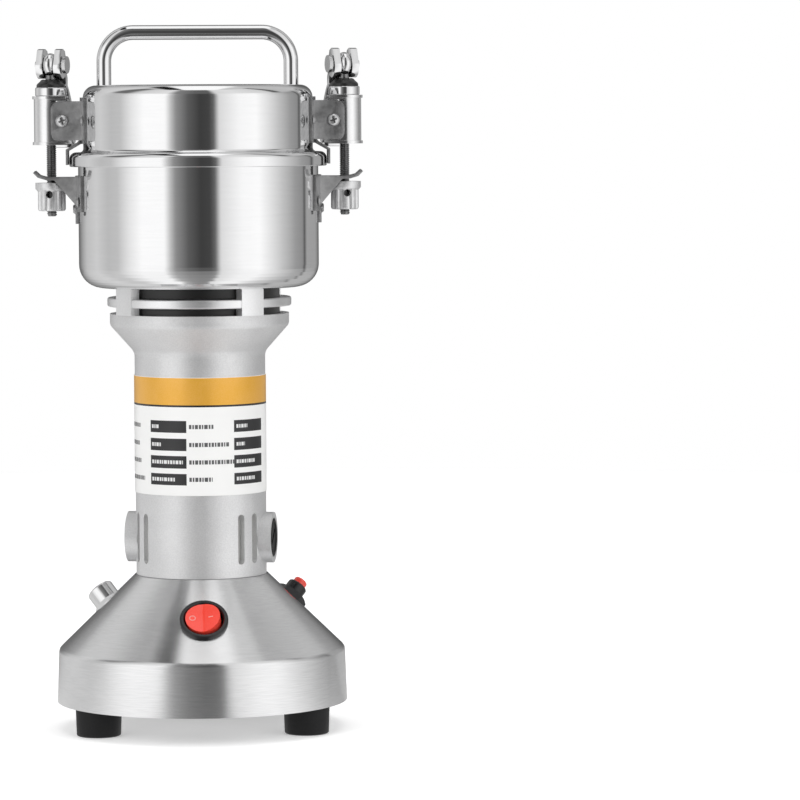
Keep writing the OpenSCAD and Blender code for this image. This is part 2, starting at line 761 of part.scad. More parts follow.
// Neck: a black ring with a fin and four posts, that carries the bowl and the upper bearing
hub_r = bearing_r + 4;
bearing_top = neck_z + 0.3;
web_z = neck_z + 4;
module neck_ring() {
    color("#1e1e1e") rotate([0, 0, column_turn]) difference() {
        union() {
            turned([
                [0, web_z, 0], [cup_in_r - 10, web_z, 0], [cup_in_r - 10, neck_z - spigot_h, 0],
                [cup_in_r - 0.4, neck_z - spigot_h, 0], [cup_in_r - 0.4, neck_z, 0],
                [neck_r, neck_z, 0], [neck_r, neck_z + fin_z, 0.8], [fin_r, neck_z + fin_z, 0.8],
                [fin_r, neck_z + fin_z + fin_t, 0.8], [neck_r, neck_z + fin_z + fin_t, 0.8],
                [neck_r, bowl_z, 0], [0, bowl_z, 0]
            ], 4);
            rod(hub_r, bearing_top - bearing_w - 0.8, web_z - bearing_top + bearing_w + 1);
            intersection() {
                on_ring(fin_r - 4, post_angles) bar([-post_w / 2, post_w / 2], [-8, 8], [neck_z, bowl_z]);
                rod(fin_r + 0.2, neck_z, neck_h);
            }
        }
        rod(bearing_r + run_gap, bearing_top - bearing_w - 2, bearing_w + 2);
        rod(shaft_r + 4, neck_z, 20);
        on_ring(neck_screw_ring_r, post_angles) rod(neck_screw_r + run_gap, neck_z - 10, 30);
    }
}
module neck_screws() {
    color("silver") rotate([0, 0, column_turn]) on_ring(neck_screw_ring_r, post_angles) {
        turned([[0, floor_z, 0], [3.6, floor_z, 0], [3.6, floor_z + 2.2, 0.9], [0, floor_z + 2.2, 0]]);
        rod(neck_screw_r, neck_z - spigot_h - 5, floor_z + weld - neck_z + spigot_h + 5);
    }
}

// Motor: two bearings, a stator with its coils, and a rotor on one shaft
low_bearing_z = base_z - 5.2;
bracket_z = base_z + 0.1;
bracket_t = 3;
core_low = base_z + core_z;
fan_z = column_z - fan_h;
core_top = fan_z - coil_room;
core_h = core_top - core_low;
shaft_low = low_bearing_z - 1.1;
collar_z = floor_z + 3.9;
collar_t = 1.1;
blade_z = collar_z + collar_t;
shaft_top = blade_z + 2 * blade_t + 4.6;
module bearing(z) {
    difference() {
        tube(bearing_r, shaft_r + run_gap, z, bearing_w);
        for (side = [z - cut, z + bearing_w - 0.4])
            tube(bearing_r - 1.9, shaft_r + 1.9, side, cut + 0.4);
    }
}
module ball_bearings() {
    color("silver") {
        bearing(low_bearing_z);
        bearing(bearing_top - bearing_w);
    }
}
module bearing_bracket() {
    color("darkgray") rotate([0, 0, column_turn]) difference() {
        turned([
            [0, low_bearing_z - 1.6, 0], [hub_r - 1, low_bearing_z - 1.6, 0.8], [hub_r - 1, bracket_z, 0],
            [bore_r - move_gap, bracket_z, 0], [bore_r - move_gap, bracket_z + bracket_t, 0.5],
            [0, bracket_z + bracket_t, 0]
        ], 4);
        rod(bearing_r + run_gap, low_bearing_z, bearing_w);
        rod(shaft_r + 3, low_bearing_z - 5, 20);
        on_ring(lug_ring_r, lug_angles) rod(housing_screw_r + run_gap, base_z - cut, 10);
        on_ring(hub_r + 5, [45:90:315]) rod(3, base_z - cut, 10);
    }
}
pole_in = armature_r + air_gap;
pole_half = 58;
coil_half = 90 - pole_half - 6;
module stator_core() {
    color("dimgray") translate([0, 0, core_low]) linear_extrude(core_h) difference() {
        circle(bore_r - seat_gap);
        circle(pole_in);
        for (side = [0, 180]) rotate(side) intersection() {
            difference() {
                circle(bore_r - 3.4);
                circle(pole_in - cut);
            }
            polygon(concat([[0, 0]], arc([0, 0], 2 * bore_r, pole_half - 90, 90 - pole_half, 4)));
        }
    }
}
module coil_side(r, inner) {
    intersection() {
        tube(r, inner, core_low - 5, core_h + 10);
        wedge(2 * r, 90 - coil_half, 90 + coil_half, core_low - 5, core_h + 10);
    }
}
module field_coils() {
    color("#b5652b") {
        for (side = [0, 180]) rotate([0, 0, side]) coil_side(bore_r - 3.7, pole_in + 0.4);
        for (z = [core_low - 7.5, core_top + 0.3])
            turned([
                [pole_in + 1, z, 1.5], [bore_r - 1.2, z, 2], [bore_r - 1.2, z + 7.2, 2],
                [pole_in + 1, z + 7.2, 1.5]
            ]);
    }
}
module rotor_shaft() {
    color("silver") {
        rod(shaft_r, shaft_low, shaft_top - shaft_low);
        rod(shaft_r + 2.5, collar_z, collar_t);
    }
}
armature_slots = 12;
module armature() {
    color("#7a5230") difference() {
        union() {
            difference() {
                rod(armature_r, core_low, core_h);
                on_ring(armature_r, [for (i = [1:armature_slots]) i * 360 / armature_slots])
                    bar([-0.9, 0.9], [-2, 1.4], [core_low - cut, core_top + cut]);
            }
            turned([
                [0, core_low - 8, 0], [armature_r - 4, core_low - 8, 2], [armature_r - 1.5, core_low, 0],
                [0, core_low, 0]
            ]);
            turned([
                [0, core_top, 0], [armature_r - 1.5, core_top, 0], [armature_r - 4, core_top + 8, 2],
                [0, core_top + 8, 0]
            ]);
        }
        rod(shaft_r, base_z, column_h);
    }
}
module commutator() {
    bars = 24;
    color("#b87333") difference() {
        tube(commutator_r, shaft_r, brush_axis - 7, 14);
        on_ring(commutator_r, [for (i = [1:bars]) i * 360 / bars])
            bar([-0.2, 0.2], [-1, 0.8], [brush_axis - 8, brush_axis + 5.5]);
    }
}
module cooling_fan() {
    blades = 11;
    color("#404040") difference() {
        union() {
            rod(shaft_r + 3, fan_z, fan_h);
            rod(fan_r, fan_z, 1.2);
            for (i = [1:blades])
                rotate([0, 0, i * 360 / blades]) translate([fan_r / 2 + 1, 0, fan_z + fan_h / 2])
                    rotate([0, 0, 18]) cube([fan_r - 6, 1.2, fan_h], center = true);
        }
        rod(shaft_r, fan_z - cut, 20);
    }
}
holder_wall = 1;
holder_in = commutator_r + 3;
holder_out = cap_out - cap_h - 0.1;
module brush_holders() {
    color("#c9a44a") rotate([0, 0, column_turn]) on_ring(0, boss_angles) translate([0, 0, brush_axis])
        difference() {
        union() {
            bar([-brush_w / 2 - holder_wall, brush_w / 2 + holder_wall], [-holder_out, -holder_in],
                [-brush_h / 2 - holder_wall, brush_h / 2 + holder_wall]);
            translate([0, -holder_out + 0.6, 0]) rod_y(cap_r, 1.2);
        }
        translate([0, -holder_out, 0])
            cube([brush_w + 2 * seat_gap, 3 * holder_out, brush_h + 2 * seat_gap], center = true);
    }
}
brush_tip = commutator_r + move_gap;
brush_l = 7.8;
module carbon_brushes() {
    color("#333333") rotate([0, 0, column_turn]) on_ring(0, boss_angles)
        translate([0, -brush_tip - brush_l / 2, brush_axis]) cube([brush_w, brush_l, brush_h], center = true);
}

spring_turns = 5;
spring_r = 2.3;
spring_wire_r = 0.35;
spring_l = holder_out - brush_tip - brush_l - 0.2;
spring_rings = 8 * spring_turns;
spring_pitch = (spring_l - 2 * spring_wire_r) / spring_rings;
module brush_spring() {
    swept([for (i = [0:spring_rings])
        [spring_r * cos(i * 45), spring_wire_r + 0.05 + spring_pitch * i, spring_r * sin(i * 45)]
    ], spring_wire_r, 6);
}
module brush_springs() {
    color("silver") rotate([0, 0, column_turn]) on_ring(brush_tip + brush_l, boss_angles)
        translate([0, 0, brush_axis]) mirror([0, 1, 0]) brush_spring();
}

// Bowl, seal and blades
seal_hole_r = 9;
rim_t = 1.2;
module bowl() {
    color("#e6e6e6") difference() {
        turned([
            [0, bowl_z, 0], [bowl_r, bowl_z, bowl_corner], [bowl_r, rim_z - rim_t, 0.6],
            [bowl_r + rim_w, rim_z - rim_t, 0.4],
            [bowl_r + rim_w, rim_z, 0.5], [bowl_r - bowl_t, rim_z, 0.8],
            [bowl_r - bowl_t, floor_z, bowl_corner - bowl_t], [0, floor_z, 0]
        ], 10);
        rod(seal_hole_r, bowl_z - cut, 5);
        rotate([0, 0, column_turn]) on_ring(neck_screw_ring_r, post_angles)
            rod(neck_screw_r + run_gap, bowl_z - cut, 5);
    }
}
seal_h = 3.5;
module shaft_seal() {
    color("#2a2a2a") difference() {
        turned([
            [0, bowl_z, 0], [seal_hole_r - run_gap, bowl_z, 0], [seal_hole_r - run_gap, floor_z, 0],
            [seal_hole_r + 2, floor_z, 0],
            [seal_hole_r + 2, floor_z + 1.4, 0.4], [seal_hole_r - 2, floor_z + seal_h, 0.8],
            [0, floor_z + seal_h, 0]
        ]);
        rod(shaft_r + run_gap, bowl_z - cut, 10);
    }
}
// One blade: a flat bar with sharpened, bent ends
blade_reach = bowl_r - bowl_t - blade_gap;
module blade(reach, bend, z) {
    edge = 3;
    flat = reach - 14;
    translate([0, 0, z]) difference() {
        union() {
            linear_extrude(blade_t) polygon([
                [-flat, -blade_w / 2], [flat, -blade_w / 2 + 2], [flat, blade_w / 2], [-flat, blade_w / 2 - 2]
            ]);
            for (side = [0, 180]) rotate([0, 0, side]) translate([flat, 0, 0]) rotate([0, -bend, 0])
                linear_extrude(blade_t) polygon([
                    [-0.8, -blade_w / 2 + 2], [14 / cos(bend) - 1.5, -blade_w / 2 + 5],
                    [14 / cos(bend) - 0.5, blade_w / 2 - 1.5], [-0.8, blade_w / 2]
                ]);
        }
        rod(shaft_r, -cut, 10);
        for (side = [0, 180]) rotate([0, 0, side]) translate([shaft_r + 4, blade_w / 2 - edge + 0.3, blade_t])
            rotate([-30, 0, 2]) cube([reach, 3 * edge, 3]);
    }
}
module blade_lower() {
    color("silver") blade(blade_reach, 24, blade_z);
}
module blade_upper() {
    color("silver") rotate([0, 0, 90]) blade(blade_reach - 5, 38, blade_z + blade_t);
}
module blade_nut() {
    color("silver") difference() {
        intersection() {
            hexagon(13, blade_z + 2 * blade_t, 6.5);
            turned([
                [0, blade_z + 2 * blade_t, 0], [8, blade_z + 2 * blade_t, 0],
                [7.5, blade_z + 2 * blade_t + 4.5, 0], [5, blade_z + 2 * blade_t + 6.5, 0],
                [0, blade_z + 2 * blade_t + 6.5, 0]
            ]);
        }
        rod(shaft_r, blade_z, 2 * blade_t + 5);
    }
}

// Lid: a spun shell with a channel and a rolled bead over the bowl's rim
wall_r = bowl_r - lid_inset;
channel_z = rim_z + channel_h;
bead_in_r = bowl_r + rim_w + bead_gap;
bead_r = bead_in_r + lid_t;
handle_x = wall_r - handle_inset;
module lid_shell() {
    color("#e8e8e8") difference() {
        turned([
            [0, lid_z - lid_t, 0], [wall_r - lid_t, lid_z - lid_t, lid_corner - lid_t],
            [wall_r - lid_t, channel_z - lid_t, 1],
            [bead_in_r, channel_z - lid_t, 0.4], [bead_in_r, rim_z - bead_drop, 0],
            [bead_r, rim_z - bead_drop, 0.4],
            [bead_r, channel_z, 1.5], [wall_r, channel_z, 1.6], [wall_r, lid_z, lid_corner], [0, lid_z, 0]
        ], 8);
        for (side = [-1, 1]) translate([side * handle_x, 0, 0]) rod(wire_r + seat_gap, lid_z - 5, 10);
    }
}
module lid_gasket() {
    color("#d8d8d0") turned([
        [wall_r - 0.2, rim_z, 0.3], [bead_in_r - 0.2, rim_z, 0.3],
        [bead_in_r - 0.4, channel_z - lid_t, 0.3], [wall_r + 0.2, channel_z - lid_t, 0.3]
    ]);
}
handle_low = lid_z - 7;
nut_t = 4;
handle_nut_af = 2 * wire_r + 3;
module lid_handle() {
    bar_z = lid_z + handle_rise;
    color("silver") {
        for (side = [0, 180]) rotate([0, 0, side]) {
            translate([handle_x, 0, 0]) rod(wire_r, handle_low, bar_z - handle_bend - handle_low);
            translate([handle_x - handle_bend, 0, bar_z - handle_bend]) rotate([90, 0, 0])
                rotate_extrude(angle = 90) translate([handle_bend, 0]) circle(wire_r);
        }
        translate([0, 0, bar_z]) rod_x(wire_r, handle_bend - handle_x, 2 * (handle_x - handle_bend));
    }
}
module handle_nuts() {
    color("silver") for (side = [-1, 1]) translate([side * handle_x, 0, 0]) difference() {
        rotate([0, 0, 30]) hexagon(handle_nut_af, lid_z - lid_t - seat_gap - nut_t, nut_t);
        rod(wire_r, handle_low - cut, 20);
    }
}

// Latches: a yoke on each lid bracket swings a bolt under the hook plate of the bowl bracket
bolt_x = bowl_r + bolt_out;
pivot_x = bowl_r + pivot_out;
pivot_z = rim_z + pivot_up;
bracket_half = 12.5;
ear_in = yoke_r + 1;
ear_half_h = 8.1;
ear_reach = pivot_x + 4.5;
yoke_low = rim_z + 7;
yoke_top = yoke_low + yoke_h;
plate_half = yoke_r + 0.6;
bolt_hole_r = bolt_r + move_gap;
washer_h = 3.6;
washer_r = 6.4;
saddle_h = 3.3;
saddle_r = 5.85;
saddle_z = yoke_top + washer_h;
cam_high = cam_low + cam_lift;
pin_z = saddle_z + saddle_h + move_gap + cam_high;
eye_r = 4.85;
eye_half = 2.1;
ear_t = 2.9;
ear_from = eye_half + 0.25;
hook_plate_z = rim_z - hook_down - latch_t;
nut_top = hook_plate_z - nut_gap;
nut_low = nut_top - nut_h;
bolt_low = nut_low - 2.2;
collar_h = 2.5;
collar_out_r = nut_r + 0.9;

// Both sides: the left one is the mirror image of the right one
module sided(side) {
    mirror([side < 0 ? 1 : 0, 0, 0]) children();
}
module both() {
    for (side = [-1, 1]) sided(side) children();
}
// A plate seen from above with a round nose about the bolt
module nosed(half, from) {
    translate([bolt_x, 0]) circle(half);
    translate([from, -half]) square([bolt_x - from, 2 * half]);
}
module curved_plate(r, half, z, h) {
    intersection() {
        tube(r + latch_t, r, z, h);
        bar([0, 2 * r], [-half, half], [z, z + h]);
    }
}
module rivet(x, y, z) {
    translate([x, y, z]) rotate([0, 90, 0]) cylinder(r1 = 2.3, r2 = 1.5, h = 1);
}
// The back ear is cut down so that the lever's handle passes it
tab_out = bead_r + 1.3;
module lid_brackets() {
    color("#d5d5d5") both() difference() {
        union() {
            curved_plate(wall_r + run_gap, bracket_half, pivot_z - 9.4, 19);
            for (y = [-1, 1]) {
                translate([0, y * (ear_in + latch_t / 2), 0]) rotate([90, 0, 0])
                    linear_extrude(latch_t, center = true)
                    polygon(rounded([
                        [wall_r + 0.2, pivot_z - ear_half_h + 0.2, 0], [ear_reach, pivot_z - ear_half_h, 3.5],
                        [ear_reach, pivot_z + ear_half_h, 3.5],
                        [y > 0 ? pivot_x : wall_r + 0.2, pivot_z + ear_half_h, 0],
                        [wall_r + 0.2, pivot_z + ear_half_h - (y > 0 ? 5 : 0.2), 0]
                    ]));
                rivet(sqrt(pow(wall_r + latch_t, 2) - 117) - 0.1, y * 10.8, pivot_z);
            }
            rotate([90, 0, 0]) linear_extrude(2 * ear_in, center = true) polygon([
                [wall_r + 0.9, pivot_z - 7], [wall_r + 2.2, pivot_z - 8.7], [tab_out, channel_z + 1.2],
                [tab_out, rim_z - 1.2],
                [tab_out - 1, rim_z - 1.2], [tab_out - 1, channel_z + 0.6], [wall_r + 1.3, pivot_z - 9.6],
                [wall_r + 0.9, pivot_z - 9.4]
            ]);
        }
        translate([pivot_x, 0, pivot_z]) rod_y(pivot_r + run_gap, 40);
        rod(wall_r + run_gap, rim_z, lid_h);
    }
}
module latch_pivots() {
    color("silver") both() translate([pivot_x, 0, pivot_z]) {
        rod_y(pivot_r, 2 * (ear_in + latch_t) + 3);
        for (y = [-1, 1]) translate([0, y * (ear_in + latch_t + 1), 0]) rod_y(3, 1.8);
    }
}
module latch_yoke(side) {
    color("#cfcfcf") sided(side) difference() {
        union() {
            difference() {
                translate([0, 0, yoke_low + 0.5]) linear_extrude(yoke_h - 1) difference() {
                    nosed(yoke_r, bowl_r + 2);
                    nosed(yoke_r - latch_t, bowl_r);
                }
                translate([0, -20, 0]) rotate([-90, 0, 0]) linear_extrude(40) polygon([
                    [bowl_r, -yoke_low + cut], [bowl_r + 2.05, -yoke_low + cut],
                    [bowl_r + 2.05, -yoke_low], [bowl_r + 4.7, -yoke_top], [bowl_r, -yoke_top - cut]
                ]);
            }
            for (z = [yoke_low, yoke_top - latch_t])
                translate([0, 0, z]) linear_extrude(latch_t) nosed(plate_half, bowl_r + 4.7);
        }
        translate([bolt_x, 0, 0]) rod(bolt_hole_r, yoke_low - cut, yoke_h + 2 * cut);
        translate([pivot_x, 0, pivot_z]) rod_y(pivot_r + run_gap, 40);
        for (y = [-1, 1]) translate([pivot_x + 1, y * yoke_r, yoke_top - 2.2])
            cube([7, 4, 0.7], center = true);
    }
}
module cam_washer(side) {
    color("silver") sided(side) translate([bolt_x, 0, 0]) difference() {
        turned([
            [0, yoke_top, 0], [washer_r, yoke_top, 0.5], [washer_r, yoke_top + washer_h, 0.5],
            [0, yoke_top + washer_h, 0]
        ]);
        rod(bolt_hole_r, yoke_top - cut, 10);
    }
}
module cam_saddle(side) {
    color("#222222") sided(side) translate([bolt_x, 0, 0]) difference() {
        turned([
            [0, saddle_z, 0], [saddle_r, saddle_z, 0], [saddle_r, saddle_z + saddle_h, 0.5],
            [0, saddle_z + saddle_h, 0]
        ]);
        rod(bolt_hole_r, saddle_z - cut, 10);
        rotate([0, 0, lever_turn])
            bar([-eye_half - move_gap, eye_half + move_gap], [-10, 10],
                [pin_z - eye_r - cam_lift - move_gap, saddle_z + 10]);
    }
}
module latch_bolt(side) {
    color("silver") sided(side) translate([bolt_x, 0, 0]) {
        difference() {
            union() {
                rod(bolt_r, bolt_low, pin_z - bolt_low);
                translate([0, 0, pin_z]) rotate([0, 0, lever_turn]) rod_x(eye_r, -eye_half, 2 * eye_half);
            }
            translate([0, 0, pin_z]) rotate([0, 0, lever_turn]) rod_x(lever_pin_r + run_gap, -10, 20);
        }
    }
}
module latch_nut(side) {
    flutes = 10;
    color("#e2e2e2") sided(side) translate([bolt_x, 0, 0]) difference() {
        union() {
            rod(collar_out_r, nut_top - collar_h, collar_h);
            translate([0, 0, nut_top - collar_h - 1]) cylinder(r1 = nut_r, r2 = collar_out_r, h = 1);
            turned([
                [0, nut_low, 0], [nut_r, nut_low, 1], [nut_r, nut_top - collar_h, 0],
                [0, nut_top - collar_h, 0]
            ]);
        }
        for (i = [1:flutes]) rotate([0, 0, i * 360 / flutes]) translate([nut_r + 1.1, 0, 0])
            rod(1.7, nut_low - cut, nut_h - collar_h);
        rod(bolt_r + run_gap, nut_low - cut, nut_h + 2 * cut);
        rotate([0, 0, 90 / flutes]) translate([0, 0, nut_top - 4.8]) rod_y(1.5, 4 * nut_r);
    }
}

// Cam lever in the frame of its pin: x along the pin, y back and inward, z up
band_t = 2.4;
band_c = [-15.3, -31.5];
band_from = 46;
band_to = -4.3;
function cam_at(a) = a < 0 ? cam_high : cam_high - cam_lift * min(a / lever_open, 1);
module lever_plane(half, mid = 0) {
    translate([mid, 0, 0]) rotate([90, 0, 90]) linear_extrude(2 * half, center = true) children();
}
module cam_outline() {
    polygon(concat(
        [for (a = [-90:10:lever_open]) cam_at(a) * [-sin(a), -cos(a)]],
        [[-0.68 * cam_low, cam_low], [-1.5, 6.2], [0.8, 6.6], [3.2, 5.7]]
    ));
}
module cam_lever(side) {
    ribs = 6;
    color("silver") sided(side) translate([bolt_x, 0, pin_z]) rotate([0, 0, lever_turn]) difference() {
        union() {
            for (s = [-1, 1]) lever_plane(ear_t / 2, s * (ear_from + ear_t / 2)) cam_outline();
            lever_plane(lever_w / 2) polygon(concat(
                arc(band_c, lever_bend, band_from, band_to, 14),
                arc(band_c, lever_bend - band_t, band_to, band_from, 14)
            ));
            lever_plane(lever_w / 2) polygon([
                [cam_high, 0], cam_high * [sin(60), -cos(60)], [saddle_r + 0.4, -cam_high],
                band_c + (lever_bend - band_t) * [cos(band_from), sin(band_from)],
                band_c + lever_bend * [cos(band_from - 2), sin(band_from - 2)], [8.6, -5], [6.6, -1.4]
            ]);
            for (i = [0:ribs - 1]) lever_plane(lever_w / 2) translate(band_c) rotate(band_to + 2 + 2.6 * i)
                translate([lever_bend, 0]) circle(0.45, $fn = 16);
        }
        lever_plane(eye_half + 0.25) circle(eye_r + 1.2);
        rod_x(lever_pin_r + run_gap, -10, 20);
    }
}
module lever_pin(side) {
    color("silver") sided(side) translate([bolt_x, 0, pin_z]) rotate([0, 0, lever_turn]) {
        rod_x(lever_pin_r, -ear_from - ear_t - 1.2, 2 * (ear_from + ear_t) + 2.2);
        rod_x(3.6, -ear_from - ear_t - 2, 1.4);
    }
}
module bowl_brackets() {
    color("#d5d5d5") both() {
        difference() {
            union() {
                curved_plate(bowl_r + run_gap, 16, hook_plate_z - 13, 14.7);
                curved_plate(bowl_r + run_gap, 7, hook_plate_z - 18, 8);
                rotate([90, 0, 0]) linear_extrude(16, center = true) polygon([
                    [bowl_r + 0.4, hook_plate_z], [bolt_x + 2, hook_plate_z],
                    [bolt_x + 5.4, hook_plate_z + 1],
                    [bolt_x + 7.4, hook_plate_z + 3], [bolt_x + 6.6, hook_plate_z + 3.8],
                    [bolt_x + 4.6, hook_plate_z + 2], [bolt_x + 1.6, hook_plate_z + latch_t],
                    [bowl_r + 0.4, hook_plate_z + latch_t]
                ]);
                for (y = [-1, 1]) translate([0, y * 7.4, 0]) rotate([90, 0, 0])
                    linear_extrude(latch_t, center = true)
                    polygon([
                        [bowl_r + 0.4, hook_plate_z + weld], [bolt_x - 1, hook_plate_z + weld],
                        [bowl_r + 1, hook_plate_z - 10.2], [bowl_r + 0.4, hook_plate_z - 10.2]
                    ]);
                for (y = [-1, 1]) rivet(sqrt(pow(bowl_r + latch_t, 2) - 144) - 0.1, y * 12, hook_plate_z - 9);
                rivet(bowl_r + latch_t, 0, hook_plate_z - 12);
            }
            rod(bowl_r + run_gap, bowl_z, bowl_h);
            bar([bolt_x - bolt_hole_r - 0.6, bolt_x + 20], [-bolt_hole_r, bolt_hole_r],
                [hook_plate_z - 2, rim_z]);
            translate([bolt_x - 0.6, 0, 0]) rod(bolt_hole_r, hook_plate_z - 1, 3);
        }
    }
}

base_shell();
base_plate();
rubber_feet();
foot_screws();
switch_body();
rocker_button();
breaker_body();
breaker_nut();
reset_button();
lamp_holder();
lamp_lens();
cable_grommet();
cord_lead();
cord_coil();
cord_tail();
plug_body();
plug_pins();
motor_housing();
brush_caps();
housing_label();
housing_screws();
neck_ring();
neck_screws();
ball_bearings();
bearing_bracket();
stator_core();
field_coils();
rotor_shaft();
armature();
commutator();
cooling_fan();
brush_holders();
carbon_brushes();
brush_springs();
bowl();
shaft_seal();
blade_lower();
blade_upper();
blade_nut();
lid_shell();
lid_gasket();
lid_handle();
handle_nuts();
lid_brackets();
bowl_brackets();
latch_pivots();
latch_yoke(-1);  // left_latch_yoke
latch_bolt(-1);  // left_latch_bolt
latch_nut(-1);  // left_latch_nut
cam_washer(-1);  // left_cam_washer
cam_saddle(-1);  // left_cam_saddle
cam_lever(-1);  // left_cam_lever
lever_pin(-1);  // left_lever_pin
latch_yoke(1);  // right_latch_yoke
latch_bolt(1);  // right_latch_bolt
latch_nut(1);  // right_latch_nut
cam_washer(1);  // right_cam_washer
cam_saddle(1);  // right_cam_saddle
cam_lever(1);  // right_cam_lever
lever_pin(1);  // right_lever_pin
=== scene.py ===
"""Looks of the electric coffee grinder: steel bowl and base, cast column, printed label, black cord."""
import math

import bpy
from mathutils import Matrix, Vector


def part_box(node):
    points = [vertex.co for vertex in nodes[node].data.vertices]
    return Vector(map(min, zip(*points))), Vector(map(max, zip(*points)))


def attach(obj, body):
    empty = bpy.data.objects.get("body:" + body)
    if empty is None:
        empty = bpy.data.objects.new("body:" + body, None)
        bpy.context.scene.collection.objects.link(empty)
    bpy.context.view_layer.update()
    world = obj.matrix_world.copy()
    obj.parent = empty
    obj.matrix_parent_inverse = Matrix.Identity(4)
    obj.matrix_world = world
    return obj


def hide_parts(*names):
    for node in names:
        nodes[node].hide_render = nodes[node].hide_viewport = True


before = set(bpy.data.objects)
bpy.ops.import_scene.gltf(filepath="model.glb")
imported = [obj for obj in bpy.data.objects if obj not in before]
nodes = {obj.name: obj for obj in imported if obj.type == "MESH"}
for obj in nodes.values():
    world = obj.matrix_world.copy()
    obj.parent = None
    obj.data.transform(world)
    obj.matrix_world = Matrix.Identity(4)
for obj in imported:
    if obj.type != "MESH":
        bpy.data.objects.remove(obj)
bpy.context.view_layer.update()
bpy.ops.object.select_all(action="DESELECT")
MM = 0.001

# Camera. It stands level with the bowl's foot, a little above the middle, and looks slightly down.
# The grinder stands left of the middle of the picture, so the camera is panned to its right.
CAMERA_AT = (0, -1.750, 0.250)
LENS = 190.3
PITCH = 3.751
PAN = 2.71
ROLL = -0.3
camera_data = bpy.data.cameras.new("photo_camera")
camera = bpy.data.objects.new("photo_camera", camera_data)
bpy.context.collection.objects.link(camera)
camera_data.sensor_width = 36
camera_data.lens = LENS
camera.matrix_world = (
    Matrix.Translation(CAMERA_AT)
    @ Matrix.Rotation(math.radians(-PAN), 4, "Z")
    @ Matrix.Rotation(math.radians(90 - PITCH), 4, "X")
    @ Matrix.Rotation(math.radians(ROLL), 4, "Z")
)
bpy.context.scene.camera = camera
bpy.context.scene.view_settings.view_transform = "Standard"


# Nodes of a material or group are added by their short names, with inputs as values or links.
def put(tree, kind, **inputs):
    node = tree.nodes.new(kind)
    for key, value in inputs.items():
        target = int(key[1:]) if key[0] == "i" and key[1:].isdigit() else key.replace("_", " ")
        if isinstance(value, bpy.types.NodeSocket):
            tree.links.new(value, node.inputs[target])
        else:
            node.inputs[target].default_value = value
    return node


def maths(tree, operation, a, b=0.0, c=0.0, clamp=False):
    node = put(tree, "ShaderNodeMath", i0=a, i1=b, i2=c)
    node.operation = operation
    node.use_clamp = clamp
    return node.outputs[0]


def ramp(tree, factor, stops):
    node = put(tree, "ShaderNodeValToRGB", Fac=factor)
    for element, (position, colour) in zip(node.color_ramp.elements, (stops[0], stops[-1])):
        element.position = position
        element.color = rgba(colour)
    for position, colour in stops[1:-1]:
        node.color_ramp.elements.new(position).color = rgba(colour)
    return node.outputs["Color"]


def rgba(colour):
    if isinstance(colour, (int, float)):
        return (colour, colour, colour, 1)
    return (*colour, 1)


def new_group(name, inputs, outputs):
    group = bpy.data.node_groups.new(name, "ShaderNodeTree")
    for label, kind, value in inputs:
        socket = group.interface.new_socket(name=label, in_out="INPUT", socket_type=kind)
        if value is not None:
            socket.default_value = value
    for label, kind in outputs:
        group.interface.new_socket(name=label, in_out="OUTPUT", socket_type=kind)
    return group, put(group, "NodeGroupInput"), put(group, "NodeGroupOutput")


FLOAT, VECTOR, COLOUR = "NodeSocketFloat", "NodeSocketVector", "NodeSocketColor"

# Studio: a white sweep and a tent of pale walls, with the dark gaps between them that polished steel shows.
# Walls and their upper part are bands by direction, as (degrees from the front towards +X, grey on screen).
# The ceiling's bands run to the back, as (degrees from straight up towards +X, grey on screen).
FLOOR_R = 1.3
TENT, PALE = 1.2, 0.3
WALLS = [
    (-180, 0.3), (-160, 0.45), (-136, 0.74), (-115, 0.8), (-97, 0.73), (-84, 0.75), (-70, 0.9), (-56, 1.0),
    (-33, 1.0), (-27, 0.75), (-22, 0.55), (-10, 0.36), (2, 0.25), (11, 0.27), (16, 0.4), (21, 0.86),
    (42, 0.98), (60, 1.0), (70, 0.92), (88, 0.76), (106, 0.6), (119, 0.54), (122, 0.3), (127, 0.62),
    (150, 0.6), (168, 0.35), (180, 0.3),
]
UPPER = [
    (-180, 0.5), (-140, 0.78), (-112, 0.82), (-100, 0.4), (-84, 0.42), (-70, 0.8), (-34, 0.88), (-24, 0.5),
    (-3, 0.38), (13, 0.36), (20, 0.84), (40, 0.88), (84, 0.82), (92, 0.35), (98, 0.35), (104, 0.72),
    (140, 0.74), (180, 0.5),
]
CEILING = [
    (-90, 0.7), (-45, 0.78), (-22.5, 0.72), (-20.5, 0.12), (-12.5, 0.12), (-10.5, 1.0), (13.5, 1.0),
    (17, 0.78), (45, 0.68), (90, 0.6),
]
UPPER_FROM, CEILING_FROM = [(0.70, 0.0), (0.76, 1.0)], [(0.94, 0.0), (0.955, 1.0)]
EYE_GAMMA = 2.2


def levels(stops):
    return [((degrees + 180) / 360, grey ** EYE_GAMMA) for degrees, grey in stops]


